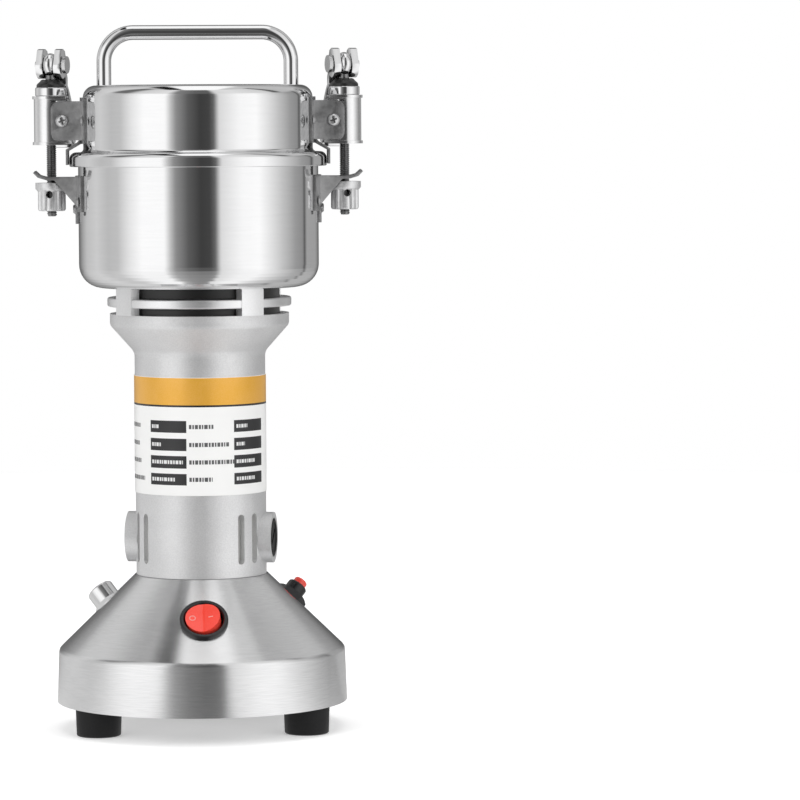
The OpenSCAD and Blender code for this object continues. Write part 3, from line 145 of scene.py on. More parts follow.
studio, given, result = new_group("studio_walls", [("Direction", VECTOR, None)], [("Colour", COLOUR)])
direction = put(studio, "ShaderNodeSeparateXYZ", Vector=given.outputs["Direction"])
frontwards = maths(studio, "MULTIPLY", direction.outputs["Y"], -1.0)
azimuth = maths(studio, "ARCTAN2", direction.outputs["X"], frontwards)
turn = maths(studio, "MULTIPLY_ADD", azimuth, 0.5 / math.pi, 0.5)
tilt = maths(studio, "ARCTAN2", direction.outputs["X"], direction.outputs["Z"])
aside = maths(studio, "MULTIPLY_ADD", tilt, 0.5 / math.pi, 0.5)
height = maths(studio, "MULTIPLY_ADD", direction.outputs["Z"], 0.5, 0.5)
bands = ramp(studio, turn, levels(WALLS))
for across, layer, stops in ((turn, UPPER, UPPER_FROM), (aside, CEILING, CEILING_FROM)):
    blend = put(studio, "ShaderNodeMix", Factor=ramp(studio, height, stops))
    blend.data_type = "RGBA"
    studio.links.new(bands, blend.inputs["A"])
    studio.links.new(ramp(studio, across, levels(layer)), blend.inputs["B"])
    bands = blend.outputs["Result"]
studio.links.new(bands, result.inputs["Colour"])


def walls_seen_from(tree, vector):
    node = tree.nodes.new("ShaderNodeGroup")
    node.node_tree = studio
    tree.links.new(vector, node.inputs["Direction"])
    return node.outputs["Colour"]


world = bpy.data.worlds.new("tent")
bpy.context.scene.world = world
world.use_nodes = True
tree = world.node_tree
tree.nodes.clear()
rays = put(tree, "ShaderNodeLightPath")
seen = put(tree, "ShaderNodeBackground", Color=(1, 1, 1, 1), Strength=1.0)
lit = put(tree, "ShaderNodeBackground", Strength=TENT,
          Color=walls_seen_from(tree, put(tree, "ShaderNodeTexCoord").outputs["Generated"]))
both = put(tree, "ShaderNodeMixShader", i0=rays.outputs["Is Camera Ray"], i1=lit.outputs[0],
           i2=seen.outputs[0])
tree.links.new(both.outputs[0], put(tree, "ShaderNodeOutputWorld").inputs["Surface"])

# Floor. White paper, which in the steel mirrors as the walls do, a little paler, as a glossy sweep would.
PAPER_GLOW, PALE_GREY = 0.34, 0.75
bpy.ops.mesh.primitive_circle_add(vertices=96, radius=FLOOR_R, fill_type="NGON", location=(0, 0, -0.0001))
floor = bpy.context.object
floor.name = "studio_floor"
bpy.ops.object.transform_apply()
floor_paint = bpy.data.materials.new("floor_paper")
floor_paint.use_nodes = True
tree = floor_paint.node_tree
paper = tree.nodes["Principled BSDF"]
paper.inputs["Base Color"].default_value = (0.94, 0.94, 0.94, 1)
paper.inputs["Roughness"].default_value = 0.6
paper.inputs["Specular IOR Level"].default_value = 0.2
rays = put(tree, "ShaderNodeLightPath")
glow = put(tree, "ShaderNodeEmission", Color=(1, 1, 1, 1),
           Strength=maths(tree, "MULTIPLY", rays.outputs["Is Camera Ray"], PAPER_GLOW))
added = put(tree, "ShaderNodeAddShader", i0=paper.outputs[0], i1=glow.outputs[0])
away = put(tree, "ShaderNodeVectorMath", i0=put(tree, "ShaderNodeTexCoord").outputs["Object"])
away.operation = "LENGTH"
paleness = maths(tree, "MULTIPLY_ADD", away.outputs["Value"], -PALE / FLOOR_R, PALE)
pale = put(tree, "ShaderNodeMix", Factor=paleness)
pale.data_type = "RGBA"
tree.links.new(walls_seen_from(tree, put(tree, "ShaderNodeTexCoord").outputs["Object"]), pale.inputs["A"])
pale.inputs["B"].default_value = rgba(PALE_GREY)
mirrored = put(tree, "ShaderNodeEmission", Color=pale.outputs["Result"], Strength=TENT)
shown = put(tree, "ShaderNodeMixShader", i0=rays.outputs["Is Glossy Ray"], i1=added.outputs[0],
            i2=mirrored.outputs[0])
tree.links.new(shown.outputs[0], tree.nodes["Material Output"].inputs["Surface"])
floor.data.materials.append(floor_paint)


def softbox(name, at, towards, size, watts):
    lamp = bpy.data.lights.new(name, "AREA")
    lamp.shape = "RECTANGLE"
    lamp.size, lamp.size_y = size
    lamp.energy = watts
    holder = bpy.data.objects.new(name, lamp)
    bpy.context.collection.objects.link(holder)
    holder.location = at
    holder.visible_glossy = False
    holder.rotation_euler = (Vector(towards) - Vector(at)).to_track_quat("-Z", "Y").to_euler()


softbox("key_softbox", (-1.1, -1.2, 1.1), (0, 0, 0.15), (0.7, 1.0), 9)
softbox("fill_softbox", (1.3, -0.9, 0.9), (0, 0, 0.15), (0.6, 1.0), 5)
softbox("top_softbox", (0, 0.3, 1.6), (0, 0, 0.1), (1.2, 1.2), 7)


# Lathe marks: fine rings about the Z axis, as on spun and turned steel. Marks is about 0.5 on average.
lathe_marks, given, result = new_group(
    "lathe_marks", [("Fineness", FLOAT, 2500.0), ("Arc", FLOAT, 0.003)],
    [("Marks", FLOAT), ("Patches", FLOAT)])
place = put(lathe_marks, "ShaderNodeTexCoord").outputs["Object"]
split = put(lathe_marks, "ShaderNodeSeparateXYZ", Vector=place)
flat = put(lathe_marks, "ShaderNodeCombineXYZ", X=split.outputs["X"], Y=split.outputs["Y"])
reach = put(lathe_marks, "ShaderNodeVectorMath", i0=flat.outputs[0])
reach.operation = "LENGTH"
angle = maths(lathe_marks, "ARCTAN2", split.outputs["X"], split.outputs["Y"])
ring = put(lathe_marks, "ShaderNodeCombineXYZ", X=reach.outputs["Value"], Z=split.outputs["Z"],
           Y=maths(lathe_marks, "MULTIPLY", angle, given.outputs["Arc"]))
fine = put(lathe_marks, "ShaderNodeTexNoise", Vector=ring.outputs[0], Scale=given.outputs["Fineness"],
           Detail=3.0)
broad = put(lathe_marks, "ShaderNodeTexNoise", Vector=place, Scale=35.0, Detail=2.0)
lathe_marks.links.new(fine.outputs["Fac"], result.inputs["Marks"])
lathe_marks.links.new(broad.outputs["Fac"], result.inputs["Patches"])

# Grit: an even fine grain with no direction, as on cast, moulded and sprayed surfaces.
grit, given, result = new_group("grit", [("Fineness", FLOAT, 1500.0)], [("Grain", FLOAT), ("Patches", FLOAT)])
place = put(grit, "ShaderNodeTexCoord").outputs["Object"]
fine = put(grit, "ShaderNodeTexNoise", Vector=place, Scale=given.outputs["Fineness"], Detail=4.0,
           Roughness=0.6)
broad = put(grit, "ShaderNodeTexNoise", Vector=place, Scale=45.0, Detail=3.0)
grit.links.new(fine.outputs["Fac"], result.inputs["Grain"])
grit.links.new(broad.outputs["Fac"], result.inputs["Patches"])


def use_group(tree, group, **inputs):
    node = tree.nodes.new("ShaderNodeGroup")
    node.node_tree = group
    for key, value in inputs.items():
        node.inputs[key].default_value = value
    return node


def finish(name, colour, group, roughness, spread, relief, depth, tint=0.04, metallic=0.0, fineness=2500.0,
           **sockets):
    """A surface whose colour, gloss and relief vary with a group's marks; relief is the bump's strength."""
    material = bpy.data.materials.new(name)
    material.use_nodes = True
    tree = material.node_tree
    shader = tree.nodes["Principled BSDF"]
    marks = use_group(tree, group, Fineness=fineness)
    mark, patch = marks.outputs[0], marks.outputs[1]
    low = [max(c - tint, 0.0) for c in colour]
    high = [min(c + tint, 1.0) for c in colour]
    mixed = maths(tree, "MULTIPLY_ADD", patch, 0.5, maths(tree, "MULTIPLY", mark, 0.5))
    tree.links.new(ramp(tree, mixed, [(0.3, low), (0.7, high)]), shader.inputs["Base Color"])
    gloss = maths(tree, "MULTIPLY_ADD", mixed, 2 * spread, roughness - spread)
    tree.links.new(gloss, shader.inputs["Roughness"])
    bump = put(tree, "ShaderNodeBump", Strength=relief, Distance=depth, Height=mark)
    tree.links.new(bump.outputs[0], shader.inputs["Normal"])
    shader.inputs["Metallic"].default_value = metallic
    for key, value in sockets.items():
        shader.inputs[key.replace("_", " ")].default_value = value
    return material


def dress(material, *names):
    for name in names:
        slots = nodes[name].material_slots
        if slots:
            slots[0].material = material
        else:
            nodes[name].data.materials.append(material)


def grey(v):
    return (v, v, v * 1.005)


# New pieces start as a primitive at its size and place, and end as one plain mesh at the origin.
def primitive(kind, name, **size):
    bpy.ops.object.select_all(action="DESELECT")
    getattr(bpy.ops.mesh, f"primitive_{kind}_add")(**size)
    bpy.context.object.name = name
    return bpy.context.object


def choose(*pieces):
    bpy.ops.object.select_all(action="DESELECT")
    for piece in pieces:
        piece.select_set(True)
    bpy.context.view_layer.objects.active = pieces[0]


def modify(piece, kind, **settings):
    choose(piece)
    modifier = piece.modifiers.new(kind.lower(), kind)
    for key, value in settings.items():
        setattr(modifier, key, value)
    bpy.ops.object.modifier_apply(modifier=modifier.name)


def freeze(piece, matrix=None):
    if matrix is not None:
        piece.matrix_world = matrix @ piece.matrix_world
    choose(piece)
    bpy.ops.object.transform_apply(location=True, rotation=True, scale=True)


def join(pieces, name):
    choose(*pieces)
    if len(pieces) > 1:
        bpy.ops.object.join()
    piece = bpy.context.object
    piece.name = name
    return piece


def rounded(corners, steps=6):
    """A path through corners (x, y, radius), each rounded to its radius."""
    path = []
    for i, (x, y, radius) in enumerate(corners):
        here = Vector((x, y))
        if not radius:
            path.append(here)
            continue
        back = (Vector(corners[i - 1][:2]) - here).normalized()
        on = (Vector(corners[i + 1][:2]) - here).normalized()
        half = back.angle(on) / 2
        middle = here + (back + on).normalized() * radius / math.sin(half)
        start = here + back * radius / math.tan(half) - middle
        end = here + on * radius / math.tan(half) - middle
        for k in range(steps + 1):
            path.append(middle + start.lerp(end, k / steps).normalized() * radius)
    return path


def lathe(name, profile, steps=96, rise=0.0, rounds=1):
    """Turns a profile of (radius, height) in mm about Z, or winds it up as a thread with a rise per round."""
    data = bpy.data.meshes.new(name)
    edges = [(i, i + 1) for i in range(len(profile) - 1)]
    data.from_pydata([(r * MM, 0, z * MM) for r, z in profile], edges, [])
    piece = bpy.data.objects.new(name, data)
    bpy.context.collection.objects.link(piece)
    modify(piece, "SCREW", angle=2 * math.pi, screw_offset=rise * MM, iterations=rounds, steps=steps,
           render_steps=steps, use_merge_vertices=True, merge_threshold=1e-6)
    modify(piece, "WELD", merge_threshold=1e-6)
    bpy.ops.object.mode_set(mode="EDIT")
    bpy.ops.mesh.select_all(action="SELECT")
    bpy.ops.mesh.normals_make_consistent(inside=False)
    bpy.ops.object.mode_set(mode="OBJECT")
    return piece


def deliver(piece, material, body="root", stands_for=(), angle=35):
    choose(piece)
    bpy.ops.object.shade_smooth_by_angle(angle=math.radians(angle))
    piece.data.materials.clear()
    piece.data.materials.append(material)
    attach(piece, body)
    if stands_for:
        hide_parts(*stands_for)
    return piece


# Mains cord. A round black flexible cord leaves the grommet, drops to the floor behind the base and is wound
# into a coil in two layers; a tie holds the coil and a moulded plug ends it.
CORD_R = 3.1
CORD_D = 2 * CORD_R * MM
LEAD = [(19.2, 55.7, 25.9), (22, 63.5, 25.7), (25.4, 73.9, 23), (28.3, 84.1, 16.8),
        (30.6, 92.6, 11.2), (32.6, 103, 6), (33.7, 111.5, 3.7), (34, 119, 3.1)]
TAIL = [(34, 132, 9.9), (35.2, 145, 9), (36.4, 157, 6), (35.6, 168.5, 3.6), (31.6, 179, 3.2),
        (24.4, 187.3, 4.8), (15.8, 192.4, 7.8), (8.4, 194.2, 9.3), (2, 194.5, 9.5)]
COIL_START, COIL_END = (34, 122.2, 3.1), (34, 128.8, 9.9)
COIL_AT = (-7.4, 125.5)
COIL_R, COIL_PITCH, COIL_IN, COIL_TURN, COIL_RINGS = 41.4, 6.8, 2.25, 0.5, 24


def coil_point(t):
    """The coil's line after t turns: in, up a layer in the half turn, and out again."""
    x = t - COIL_IN
    least = COIL_R - COIL_PITCH * COIL_IN
    if x < 0:
        radius = least - COIL_PITCH * x
    elif x > COIL_TURN:
        radius = least + COIL_PITCH * (x - COIL_TURN)
    else:
        radius = least - COIL_PITCH * x * (1 - x / COIL_TURN)
    climb = COIL_PITCH * min(max(x / COIL_TURN, 0), 1)
    a = 2 * math.pi * t
    return (COIL_AT[0] + radius * math.cos(a), COIL_AT[1] + radius * math.sin(a), CORD_R + climb)


turns = 2 * COIL_IN + COIL_TURN
route = LEAD + [COIL_START]
route += [coil_point(i / COIL_RINGS) for i in range(int(COIL_RINGS * turns) + 1)]
route += [COIL_END] + TAIL
line = bpy.data.curves.new("mains_cord", "CURVE")
line.dimensions = "3D"
line.bevel_depth = CORD_D / 2
line.bevel_resolution = 6
line.resolution_u = 4
line.use_fill_caps = True
spline = line.splines.new("BEZIER")
spline.bezier_points.add(len(route) - 1)
for point, at in zip(spline.bezier_points, route):
    point.co = Vector(at) * MM
    point.handle_left_type = point.handle_right_type = "AUTO"
cord = bpy.data.objects.new("mains_cord", line)
bpy.context.collection.objects.link(cord)
pvc = finish("cord_pvc", (0.012, 0.012, 0.013), grit, 0.42, 0.06, 0.15, 0.0002, tint=0.003, fineness=900.0)
line.materials.append(pvc)
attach(cord, "root")
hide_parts("cord_lead", "cord_coil", "cord_tail")
dress(pvc, "plug_body")

# Base. The skirt and cone are one spun stainless pressing, brushed round its axis; feet are black rubber.
# Its bottom pan and the screws in the feet are plain steel.
brushed = finish("brushed_base_steel", grey(0.78), lathe_marks, 0.21, 0.04, 0.25, 0.00008, tint=0.06,
                 metallic=1.0, Anisotropic=0.95, Anisotropic_Rotation=0.25)
brushing = put(brushed.node_tree, "ShaderNodeTangent")
brushing.direction_type = "RADIAL"
brushing.axis = "Z"
brushed.node_tree.links.new(brushing.outputs[0], brushed.node_tree.nodes["Principled BSDF"].inputs["Tangent"])
pan_steel = finish("pan_steel", grey(0.5), grit, 0.4, 0.08, 0.1, 0.0001, metallic=1.0)
rubber = finish("foot_rubber", (0.008, 0.008, 0.0085), grit, 0.55, 0.08, 0.3, 0.0003, tint=0.003,
                fineness=1200.0, Specular_IOR_Level=0.25)
screw_steel = finish("screw_steel", grey(0.6), grit, 0.25, 0.08, 0.1, 0.0001, metallic=1.0)
dress(brushed, "base_shell")
dress(pan_steel, "base_plate")
dress(rubber, "rubber_feet")
dress(screw_steel, "foot_screws", "housing_screws", "neck_screws", "handle_nuts", "latch_pivots",
      "left_lever_pin", "right_lever_pin", "brush_springs")

# Controls. A red glossy rocker in a black bezel, a red reset button in a black nut, and a chromed lamp with
# a red lens are snapped or screwed into holes of the cone; a grey rubber grommet holds the cord.
black_gloss = finish("black_moulding", (0.012, 0.012, 0.013), grit, 0.22, 0.05, 0.05, 0.0002, tint=0.003)
red_gloss = finish("red_moulding", (0.95, 0.07, 0.045), grit, 0.24, 0.05, 0.05, 0.0002, tint=0.03,
                   Coat_Weight=0.4)
chrome = finish("bright_chrome", grey(0.78), grit, 0.07, 0.03, 0.02, 0.0001, tint=0.02, metallic=1.0,
                fineness=600.0)
lens_red = finish("lens_red", (0.8, 0.02, 0.012), grit, 0.15, 0.04, 0.1, 0.0002, tint=0.05, fineness=700.0)
grey_rubber = finish("grommet_rubber", (0.25, 0.25, 0.255), grit, 0.55, 0.08, 0.2, 0.0002, tint=0.02)
dress(black_gloss, "switch_body", "breaker_body", "breaker_nut")
dress(red_gloss, "rocker_button", "reset_button")
dress(chrome, "lamp_holder")
dress(lens_red, "lamp_lens")
dress(grey_rubber, "cable_grommet")

# Column and motor. The column is a die-cast housing in fine silver spray, with a slight sparkle.
# The motor inside it is of laminated iron and varnished copper, with brass, carbon and plastic parts.
cast = finish("silver_spray", grey(0.74), grit, 0.42, 0.1, 0.35, 0.00025, tint=0.1, metallic=0.7,
              fineness=1700.0)
iron = finish("core_iron", grey(0.16), grit, 0.5, 0.08, 0.2, 0.0002, metallic=0.8)
copper = finish("wound_copper", (0.55, 0.22, 0.08), grit, 0.35, 0.08, 0.3, 0.0003, metallic=0.9)
brass = finish("bare_brass", (0.75, 0.55, 0.25), grit, 0.28, 0.06, 0.05, 0.0001, metallic=1.0)
carbon = finish("carbon", grey(0.03), grit, 0.6, 0.08, 0.2, 0.0002)
fan_black = finish("fan_black", grey(0.02), grit, 0.45, 0.08, 0.1, 0.0002)
dress(cast, "motor_housing", "bearing_bracket")
dress(iron, "stator_core")
dress(copper, "field_coils", "armature", "commutator")
dress(brass, "brush_holders", "plug_pins")
dress(carbon, "carbon_brushes")
dress(fan_black, "cooling_fan", "shaft_seal")

# Brush caps. Black moulded discs screwed into the column's two bosses, with a raised rim and a
# screwdriver slot across the sunk face.
CAP_R, CAP_RIM_R, CAP_FACE_R = 8, 6.6, 6.1
CAP_H, CAP_FACE_H = 3.6, 3.1
CAP_SLOT = (11, 1.8, 2.4)
CAP_ANGLES, CAP_SPIN = (80, -100), 35
CAP_REACH, BRUSH_Z = 27.1, 79.0
cap_black = finish("cap_black", (0.008, 0.008, 0.0085), grit, 0.5, 0.08, 0.15, 0.0002, tint=0.003,
                   Specular_IOR_Level=0.2)
cap_profile = rounded([
    (0, 0, 0), (CAP_R, 0, 0), (CAP_R, CAP_H, 0.7), (CAP_RIM_R, CAP_H, 0.3), (CAP_FACE_R, CAP_FACE_H, 0.3),
    (0, CAP_FACE_H, 0)])
caps = []
for angle in CAP_ANGLES:
    cap = lathe("cap", cap_profile, steps=64)
    slot_cutter = primitive("cube", "slot", size=1, location=(0, 0, CAP_FACE_H * MM))
    slot_cutter.scale = Vector(CAP_SLOT) * MM
    modify(cap, "BOOLEAN", operation="DIFFERENCE", object=slot_cutter, solver="EXACT")
    bpy.data.objects.remove(slot_cutter)
    on_boss = Matrix.Translation(Vector((0, -CAP_REACH, BRUSH_Z)) * MM) @ Matrix.Rotation(math.pi / 2, 4, "X")
    freeze(cap, Matrix.Rotation(math.radians(angle), 4, "Z") @ on_boss
           @ Matrix.Rotation(math.radians(CAP_SPIN), 4, "Z"))
    caps.append(cap)
deliver(join(caps, "brush_cap_discs"), cap_black, stands_for=["brush_caps"])

# Vent liners. Curved strips of pale card that stand behind the vent slots, round the ends of the coils.
LINER_IN, LINER_OUT, LINER_LOW, LINER_HIGH = 23.95, 24.1, 68.8, 90.8
LINER_SPANS = ((30, 62), (98, 131), (-82, -49), (-151, -118))
LINER_STEPS = 12
liner_card = finish("liner_card", (0.62, 0.62, 0.6), grit, 0.6, 0.08, 0.2, 0.0002, tint=0.04)


def strip(a, b):
    """Quads between two rows of a liner's corners that start at numbers a and b."""
    return [(a + k, a + k + 1, b + k + 1, b + k) for k in range(LINER_STEPS)]


liners = []
for start, end in LINER_SPANS:
    arc = [math.radians(start + (end - start) * k / LINER_STEPS) for k in range(LINER_STEPS + 1)]
    corners = [Vector((r * math.sin(a), -r * math.cos(a), z)) * MM
               for r in (LINER_IN, LINER_OUT) for z in (LINER_LOW, LINER_HIGH) for a in arc]
    rows = [len(arc) * k for k in range(4)]
    tips = [tuple(rows[k] + last for k in (0, 1, 3, 2)) for last in (0, LINER_STEPS)]
    faces = strip(rows[0], rows[1]) + strip(rows[2], rows[3])
    faces += strip(rows[0], rows[2]) + strip(rows[1], rows[3])
    liner = bpy.data.meshes.new("liner")
    liner.from_pydata(corners, [], faces + tips)
    liners.append(bpy.data.objects.new("liner", liner))
    bpy.context.collection.objects.link(liners[-1])
deliver(join(liners, "vent_liners"), liner_card)

# Neck. One casting between cup and bowl: inside NECK_CORE_R its core is coloured near-black and not metallic,
# its fin and posts are bare silver.
NECK_CORE_R = 34.2 * MM
NECK_METAL, CORE_NEAR_BLACK = 0.9, 0.02
neck = finish("neck_silver", grey(0.88), grit, 0.34, 0.08, 0.15, 0.0002, tint=0.06, metallic=NECK_METAL,
              fineness=1700.0)
tree = neck.node_tree
shader = tree.nodes["Principled BSDF"]
flat = put(tree, "ShaderNodeVectorMath", i0=put(tree, "ShaderNodeTexCoord").outputs["Object"], i1=(1, 1, 0))
flat.operation = "MULTIPLY"
reach = put(tree, "ShaderNodeVectorMath", i0=flat.outputs["Vector"])
reach.operation = "LENGTH"
outer = maths(tree, "GREATER_THAN", reach.outputs["Value"], NECK_CORE_R)
surface_look = put(tree, "ShaderNodeMix", Factor=outer)
surface_look.data_type = "RGBA"
tree.links.new(shader.inputs["Base Color"].links[0].from_socket, surface_look.inputs["B"])
surface_look.inputs["A"].default_value = rgba(CORE_NEAR_BLACK)
tree.links.new(surface_look.outputs["Result"], shader.inputs["Base Color"])
tree.links.new(maths(tree, "MULTIPLY", outer, NECK_METAL), shader.inputs["Metallic"])
dress(neck, "neck_ring")

# Bowl and blades. The bowl is spun and polished stainless steel, nearly a mirror, with faint rings from the
# polishing; the blades in it are ground steel.
polished = finish("polished_steel", grey(0.8), lathe_marks, 0.07, 0.03, 0.012, 0.00005, tint=0.02,
                  metallic=1.0, fineness=1200.0)
blade_steel = finish("blade_steel", grey(0.55), grit, 0.2, 0.06, 0.1, 0.0001, metallic=1.0)
dress(polished, "bowl")
dress(blade_steel, "blade_lower", "blade_upper", "blade_nut", "rotor_shaft", "ball_bearings")

# Lid. Spun from one sheet like the bowl: a flat top, a straight wall, a channel and a bead that hangs over
# the bowl's rim on a pale gasket. Its handle is chromed wire.
LID_Z, LID_T = 265.9, 1.1
WALL_R, BEAD_R = 47.3, 53.0
CHANNEL_Z, SKIRT_Z = 238.5, 232.6
UNDER_LID, UNDER_CHANNEL = LID_Z - LID_T, CHANNEL_Z - LID_T
seal_rubber = finish("gasket_rubber", (0.7, 0.69, 0.64), grit, 0.5, 0.06, 0.1, 0.0002)
lid_profile = rounded([
    (0, LID_Z, 0), (WALL_R, LID_Z, 5), (WALL_R, CHANNEL_Z, 1.6), (BEAD_R, CHANNEL_Z, 2.6),
    (BEAD_R, SKIRT_Z, 0.5), (BEAD_R - LID_T, SKIRT_Z, 0.4), (BEAD_R - LID_T, UNDER_CHANNEL, 1.4),
    (WALL_R - LID_T, UNDER_CHANNEL, 0.8), (WALL_R - LID_T, UNDER_LID, 3.9), (0, UNDER_LID, 0)], steps=8)
deliver(lathe("spun_lid", lid_profile, steps=160), polished, stands_for=["lid_shell"])
dress(seal_rubber, "lid_gasket")
dress(chrome, "lid_handle")

# Latch brackets and levers. Brackets, yokes and nuts are zinc-plated steel, levers and washers are chromed.
# They are stamped or cast, and their edges are eased by tumbling.
plated = finish("plated_steel", grey(0.78), grit, 0.42, 0.1, 0.2, 0.00015, tint=0.14, metallic=0.95,
                fineness=500.0)
# The brackets take a darker copy of the plated steel (0.44 against the nuts' 0.78): painted shade for the dim
# flat faces of the brackets.
bracket_steel_painted_shade = finish("bracket_steel_painted_shade", grey(0.44), grit, 0.36, 0.1, 0.2, 0.00015, tint=0.14, metallic=0.95,
                       fineness=420.0)
bright = finish("bright_plate", grey(0.82), grit, 0.16, 0.05, 0.04, 0.0001, tint=0.04, metallic=1.0,
                fineness=700.0)


def eased(name, width, surface_look, body="root"):
    """A copy of a node with its sharp edges rounded, which stands for it."""
    piece = bpy.data.objects.new("eased_" + name, nodes[name].data.copy())
    bpy.context.collection.objects.link(piece)
    modify(piece, "WELD", merge_threshold=1e-6)
    modify(piece, "DECIMATE", decimate_type="DISSOLVE", angle_limit=math.radians(1))
    modify(piece, "BEVEL", width=width * MM, segments=3, limit_method="ANGLE", angle_limit=math.radians(50))
    return deliver(piece, surface_look, body, [name])


SHEET_EASE, LEVER_EASE, NUT_EASE = 0.2, 0.55, 0.15
eased("lid_brackets", SHEET_EASE, bracket_steel_painted_shade)
eased("bowl_brackets", SHEET_EASE, bracket_steel_painted_shade)
for side in ("left", "right"):
    eased(side + "_latch_yoke", SHEET_EASE, bright, side + "_yoke")
    eased(side + "_cam_lever", LEVER_EASE, chrome, side + "_lever")
    eased(side + "_latch_nut", NUT_EASE, plated, side + "_nut")
dress(chrome, "left_cam_washer", "right_cam_washer")

# Latch bolts. Steel studs with a rolled thread below the yoke, each with a chromed ring round the pin of its
# lever; the studs are coloured dark grey as painted shade for the shadowed neck between the lever's ears.
# A moulded saddle sits on each stud, domed, with a notch that the ring drops into; its near-black colour is
# partly the saddle's own and partly painted shade for the shadow under the ears.
BOLT_X, PIN_HIGH, LEVER_TURN = 60.4, 274.4, 16.5
YOKE_LOW, BOLT_LOW = 241.6, 212.25
THREAD_R, ROOT_R, THREAD_PITCH, THREAD_LIFT = 2.05, 1.7, 0.8, 0.3
NECK_R, NECK_H, SHOULDER_H = 2.25, 0.6, 6.5
EYE_R, EYE_WIRE, EYE_WIDE = 3.2, 1.64, 1.27
DOME_R, DOME_BORE, DOME_H, DOME_Z = 5.85, 2.4, 3.3, 265.2
NOTCH_Z, NOTCH_W, NOTCH_LONG, NOTCH_H = 267.3, 5.0, 6.3, 5.0
# The studs' dark grey is painted shade for the shadowed neck between the ears; the saddles' near-black is
# partly their own colour and partly painted shade.
stud_steel_painted_shade = finish("stud_steel_painted_shade", grey(0.26), grit, 0.3, 0.08, 0.1, 0.0001, tint=0.05, metallic=1.0)
saddle_black_and_painted_shade = finish("saddle_black_and_painted_shade", grey(0.012), grit, 0.3, 0.06, 0.1, 0.0002, tint=0.004)
crest = [(ROOT_R, 0), (THREAD_R, 0.3), (THREAD_R, 0.45), (ROOT_R, 0.75), (ROOT_R, THREAD_PITCH)]
thread_rounds = int((YOKE_LOW + 1 - BOLT_LOW) / THREAD_PITCH)
stud = rounded([
    (0, BOLT_LOW, 0), (ROOT_R, BOLT_LOW, 0.4), (ROOT_R, YOKE_LOW, 0), (THREAD_R, YOKE_LOW + 1, 0),
    (THREAD_R, PIN_HIGH - SHOULDER_H, 0), (NECK_R, PIN_HIGH - EYE_R - NECK_H, 0), (0, PIN_HIGH - EYE_R, 0)])
dome = [
    (DOME_BORE, 0), (DOME_R, 0), (DOME_R, 1.0), (5.5, 1.5), (4.6, 2.3), (3.9, 3.1), (3.3, DOME_H),
    (DOME_BORE, DOME_H), (DOME_BORE, 0)]
for side, way in (("left", -1), ("right", 1)):
    place = Matrix.Translation((way * BOLT_X * MM, 0, 0))
    turned = Matrix.Rotation(math.radians(way * LEVER_TURN), 4, "Z")
    thread = lathe("thread", crest, steps=20, rise=THREAD_PITCH, rounds=thread_rounds)
    freeze(thread, place @ Matrix.Translation((0, 0, (BOLT_LOW + THREAD_LIFT) * MM)))
    shank = lathe("shank", stud, steps=32)
    freeze(shank, place)
    eye = primitive("torus", "eye", major_segments=48, minor_segments=20, major_radius=EYE_R * MM,
                    minor_radius=EYE_WIRE * MM)
    eye.scale = (1, 1, EYE_WIDE)
    freeze(eye)
    freeze(eye, place @ Matrix.Translation((0, 0, PIN_HIGH * MM)) @ turned
           @ Matrix.Rotation(math.pi / 2, 4, "Y"))
    deliver(join([shank, thread], side + "_threaded_bolt"), stud_steel_painted_shade, side + "_bolt",
            [side + "_latch_bolt"])
    eye.name = side + "_bolt_eye"
    deliver(eye, chrome, side + "_bolt")
    saddle = lathe("saddle", dome, steps=64)
    freeze(saddle, Matrix.Translation((0, 0, DOME_Z * MM)))
    notch = primitive("cube", "notch", size=1, location=(0, 0, (NOTCH_Z + NOTCH_H / 2) * MM),
                      rotation=(0, 0, math.radians(way * LEVER_TURN)))
    notch.scale = (NOTCH_W * MM, NOTCH_LONG * MM, NOTCH_H * MM)
    modify(saddle, "BOOLEAN", operation="DIFFERENCE", object=notch, solver="EXACT")
    bpy.data.objects.remove(notch)
    freeze(saddle, place)
    saddle.name = side + "_saddle_dome"
    deliver(saddle, saddle_black_and_painted_shade, side + "_yoke", [side + "_cam_saddle"])

# Pivot screws. Plain steel, with a shank through each yoke and the ears of its bracket, and domed pan heads
# with a cross recess at both ends.
PIVOT_X, PIVOT_Z, PIVOT_R = 55.7 * MM, 251.4 * MM, 1.9 * MM
HEAD_R, HEAD_H, HEAD_DOME = 2.7 * MM, 1.7 * MM, 0.72
HEAD_CUT, HEAD_SPIN = 0.1 * HEAD_H, math.radians(20)
RECESS = (2.8, 0.7, 1.9)
pivot_low, pivot_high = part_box("latch_pivots")


def pan_head(name, at, turn):
    """A domed screw head that looks along -Y before it is turned about Z."""
    head = primitive("uv_sphere", name, segments=32, ring_count=16, radius=HEAD_R)
    head.scale = (1, 1, HEAD_DOME)
    freeze(head)
    choose(head)
    bpy.ops.object.mode_set(mode="EDIT")
    bpy.ops.mesh.select_all(action="SELECT")
    bpy.ops.mesh.bisect(plane_co=(0, 0, HEAD_CUT), plane_no=(0, 0, 1), use_fill=True, clear_inner=True)
    bpy.ops.object.mode_set(mode="OBJECT")
    for angle in (0, 90):
        bar = primitive("cube", "recess", size=1, location=(0, 0, HEAD_R * HEAD_DOME),
                        rotation=(0, 0, math.radians(angle)))
        bar.scale = Vector(RECESS) * MM
        modify(head, "BOOLEAN", operation="DIFFERENCE", object=bar, solver="EXACT")
        bpy.data.objects.remove(bar)
    freeze(head, Matrix.Translation(at) @ Matrix.Rotation(turn, 4, "Z")
           @ Matrix.Rotation(math.radians(90), 4, "X") @ Matrix.Rotation(HEAD_SPIN, 4, "Z")
           @ Matrix.Translation((0, 0, -HEAD_CUT)))
    return head


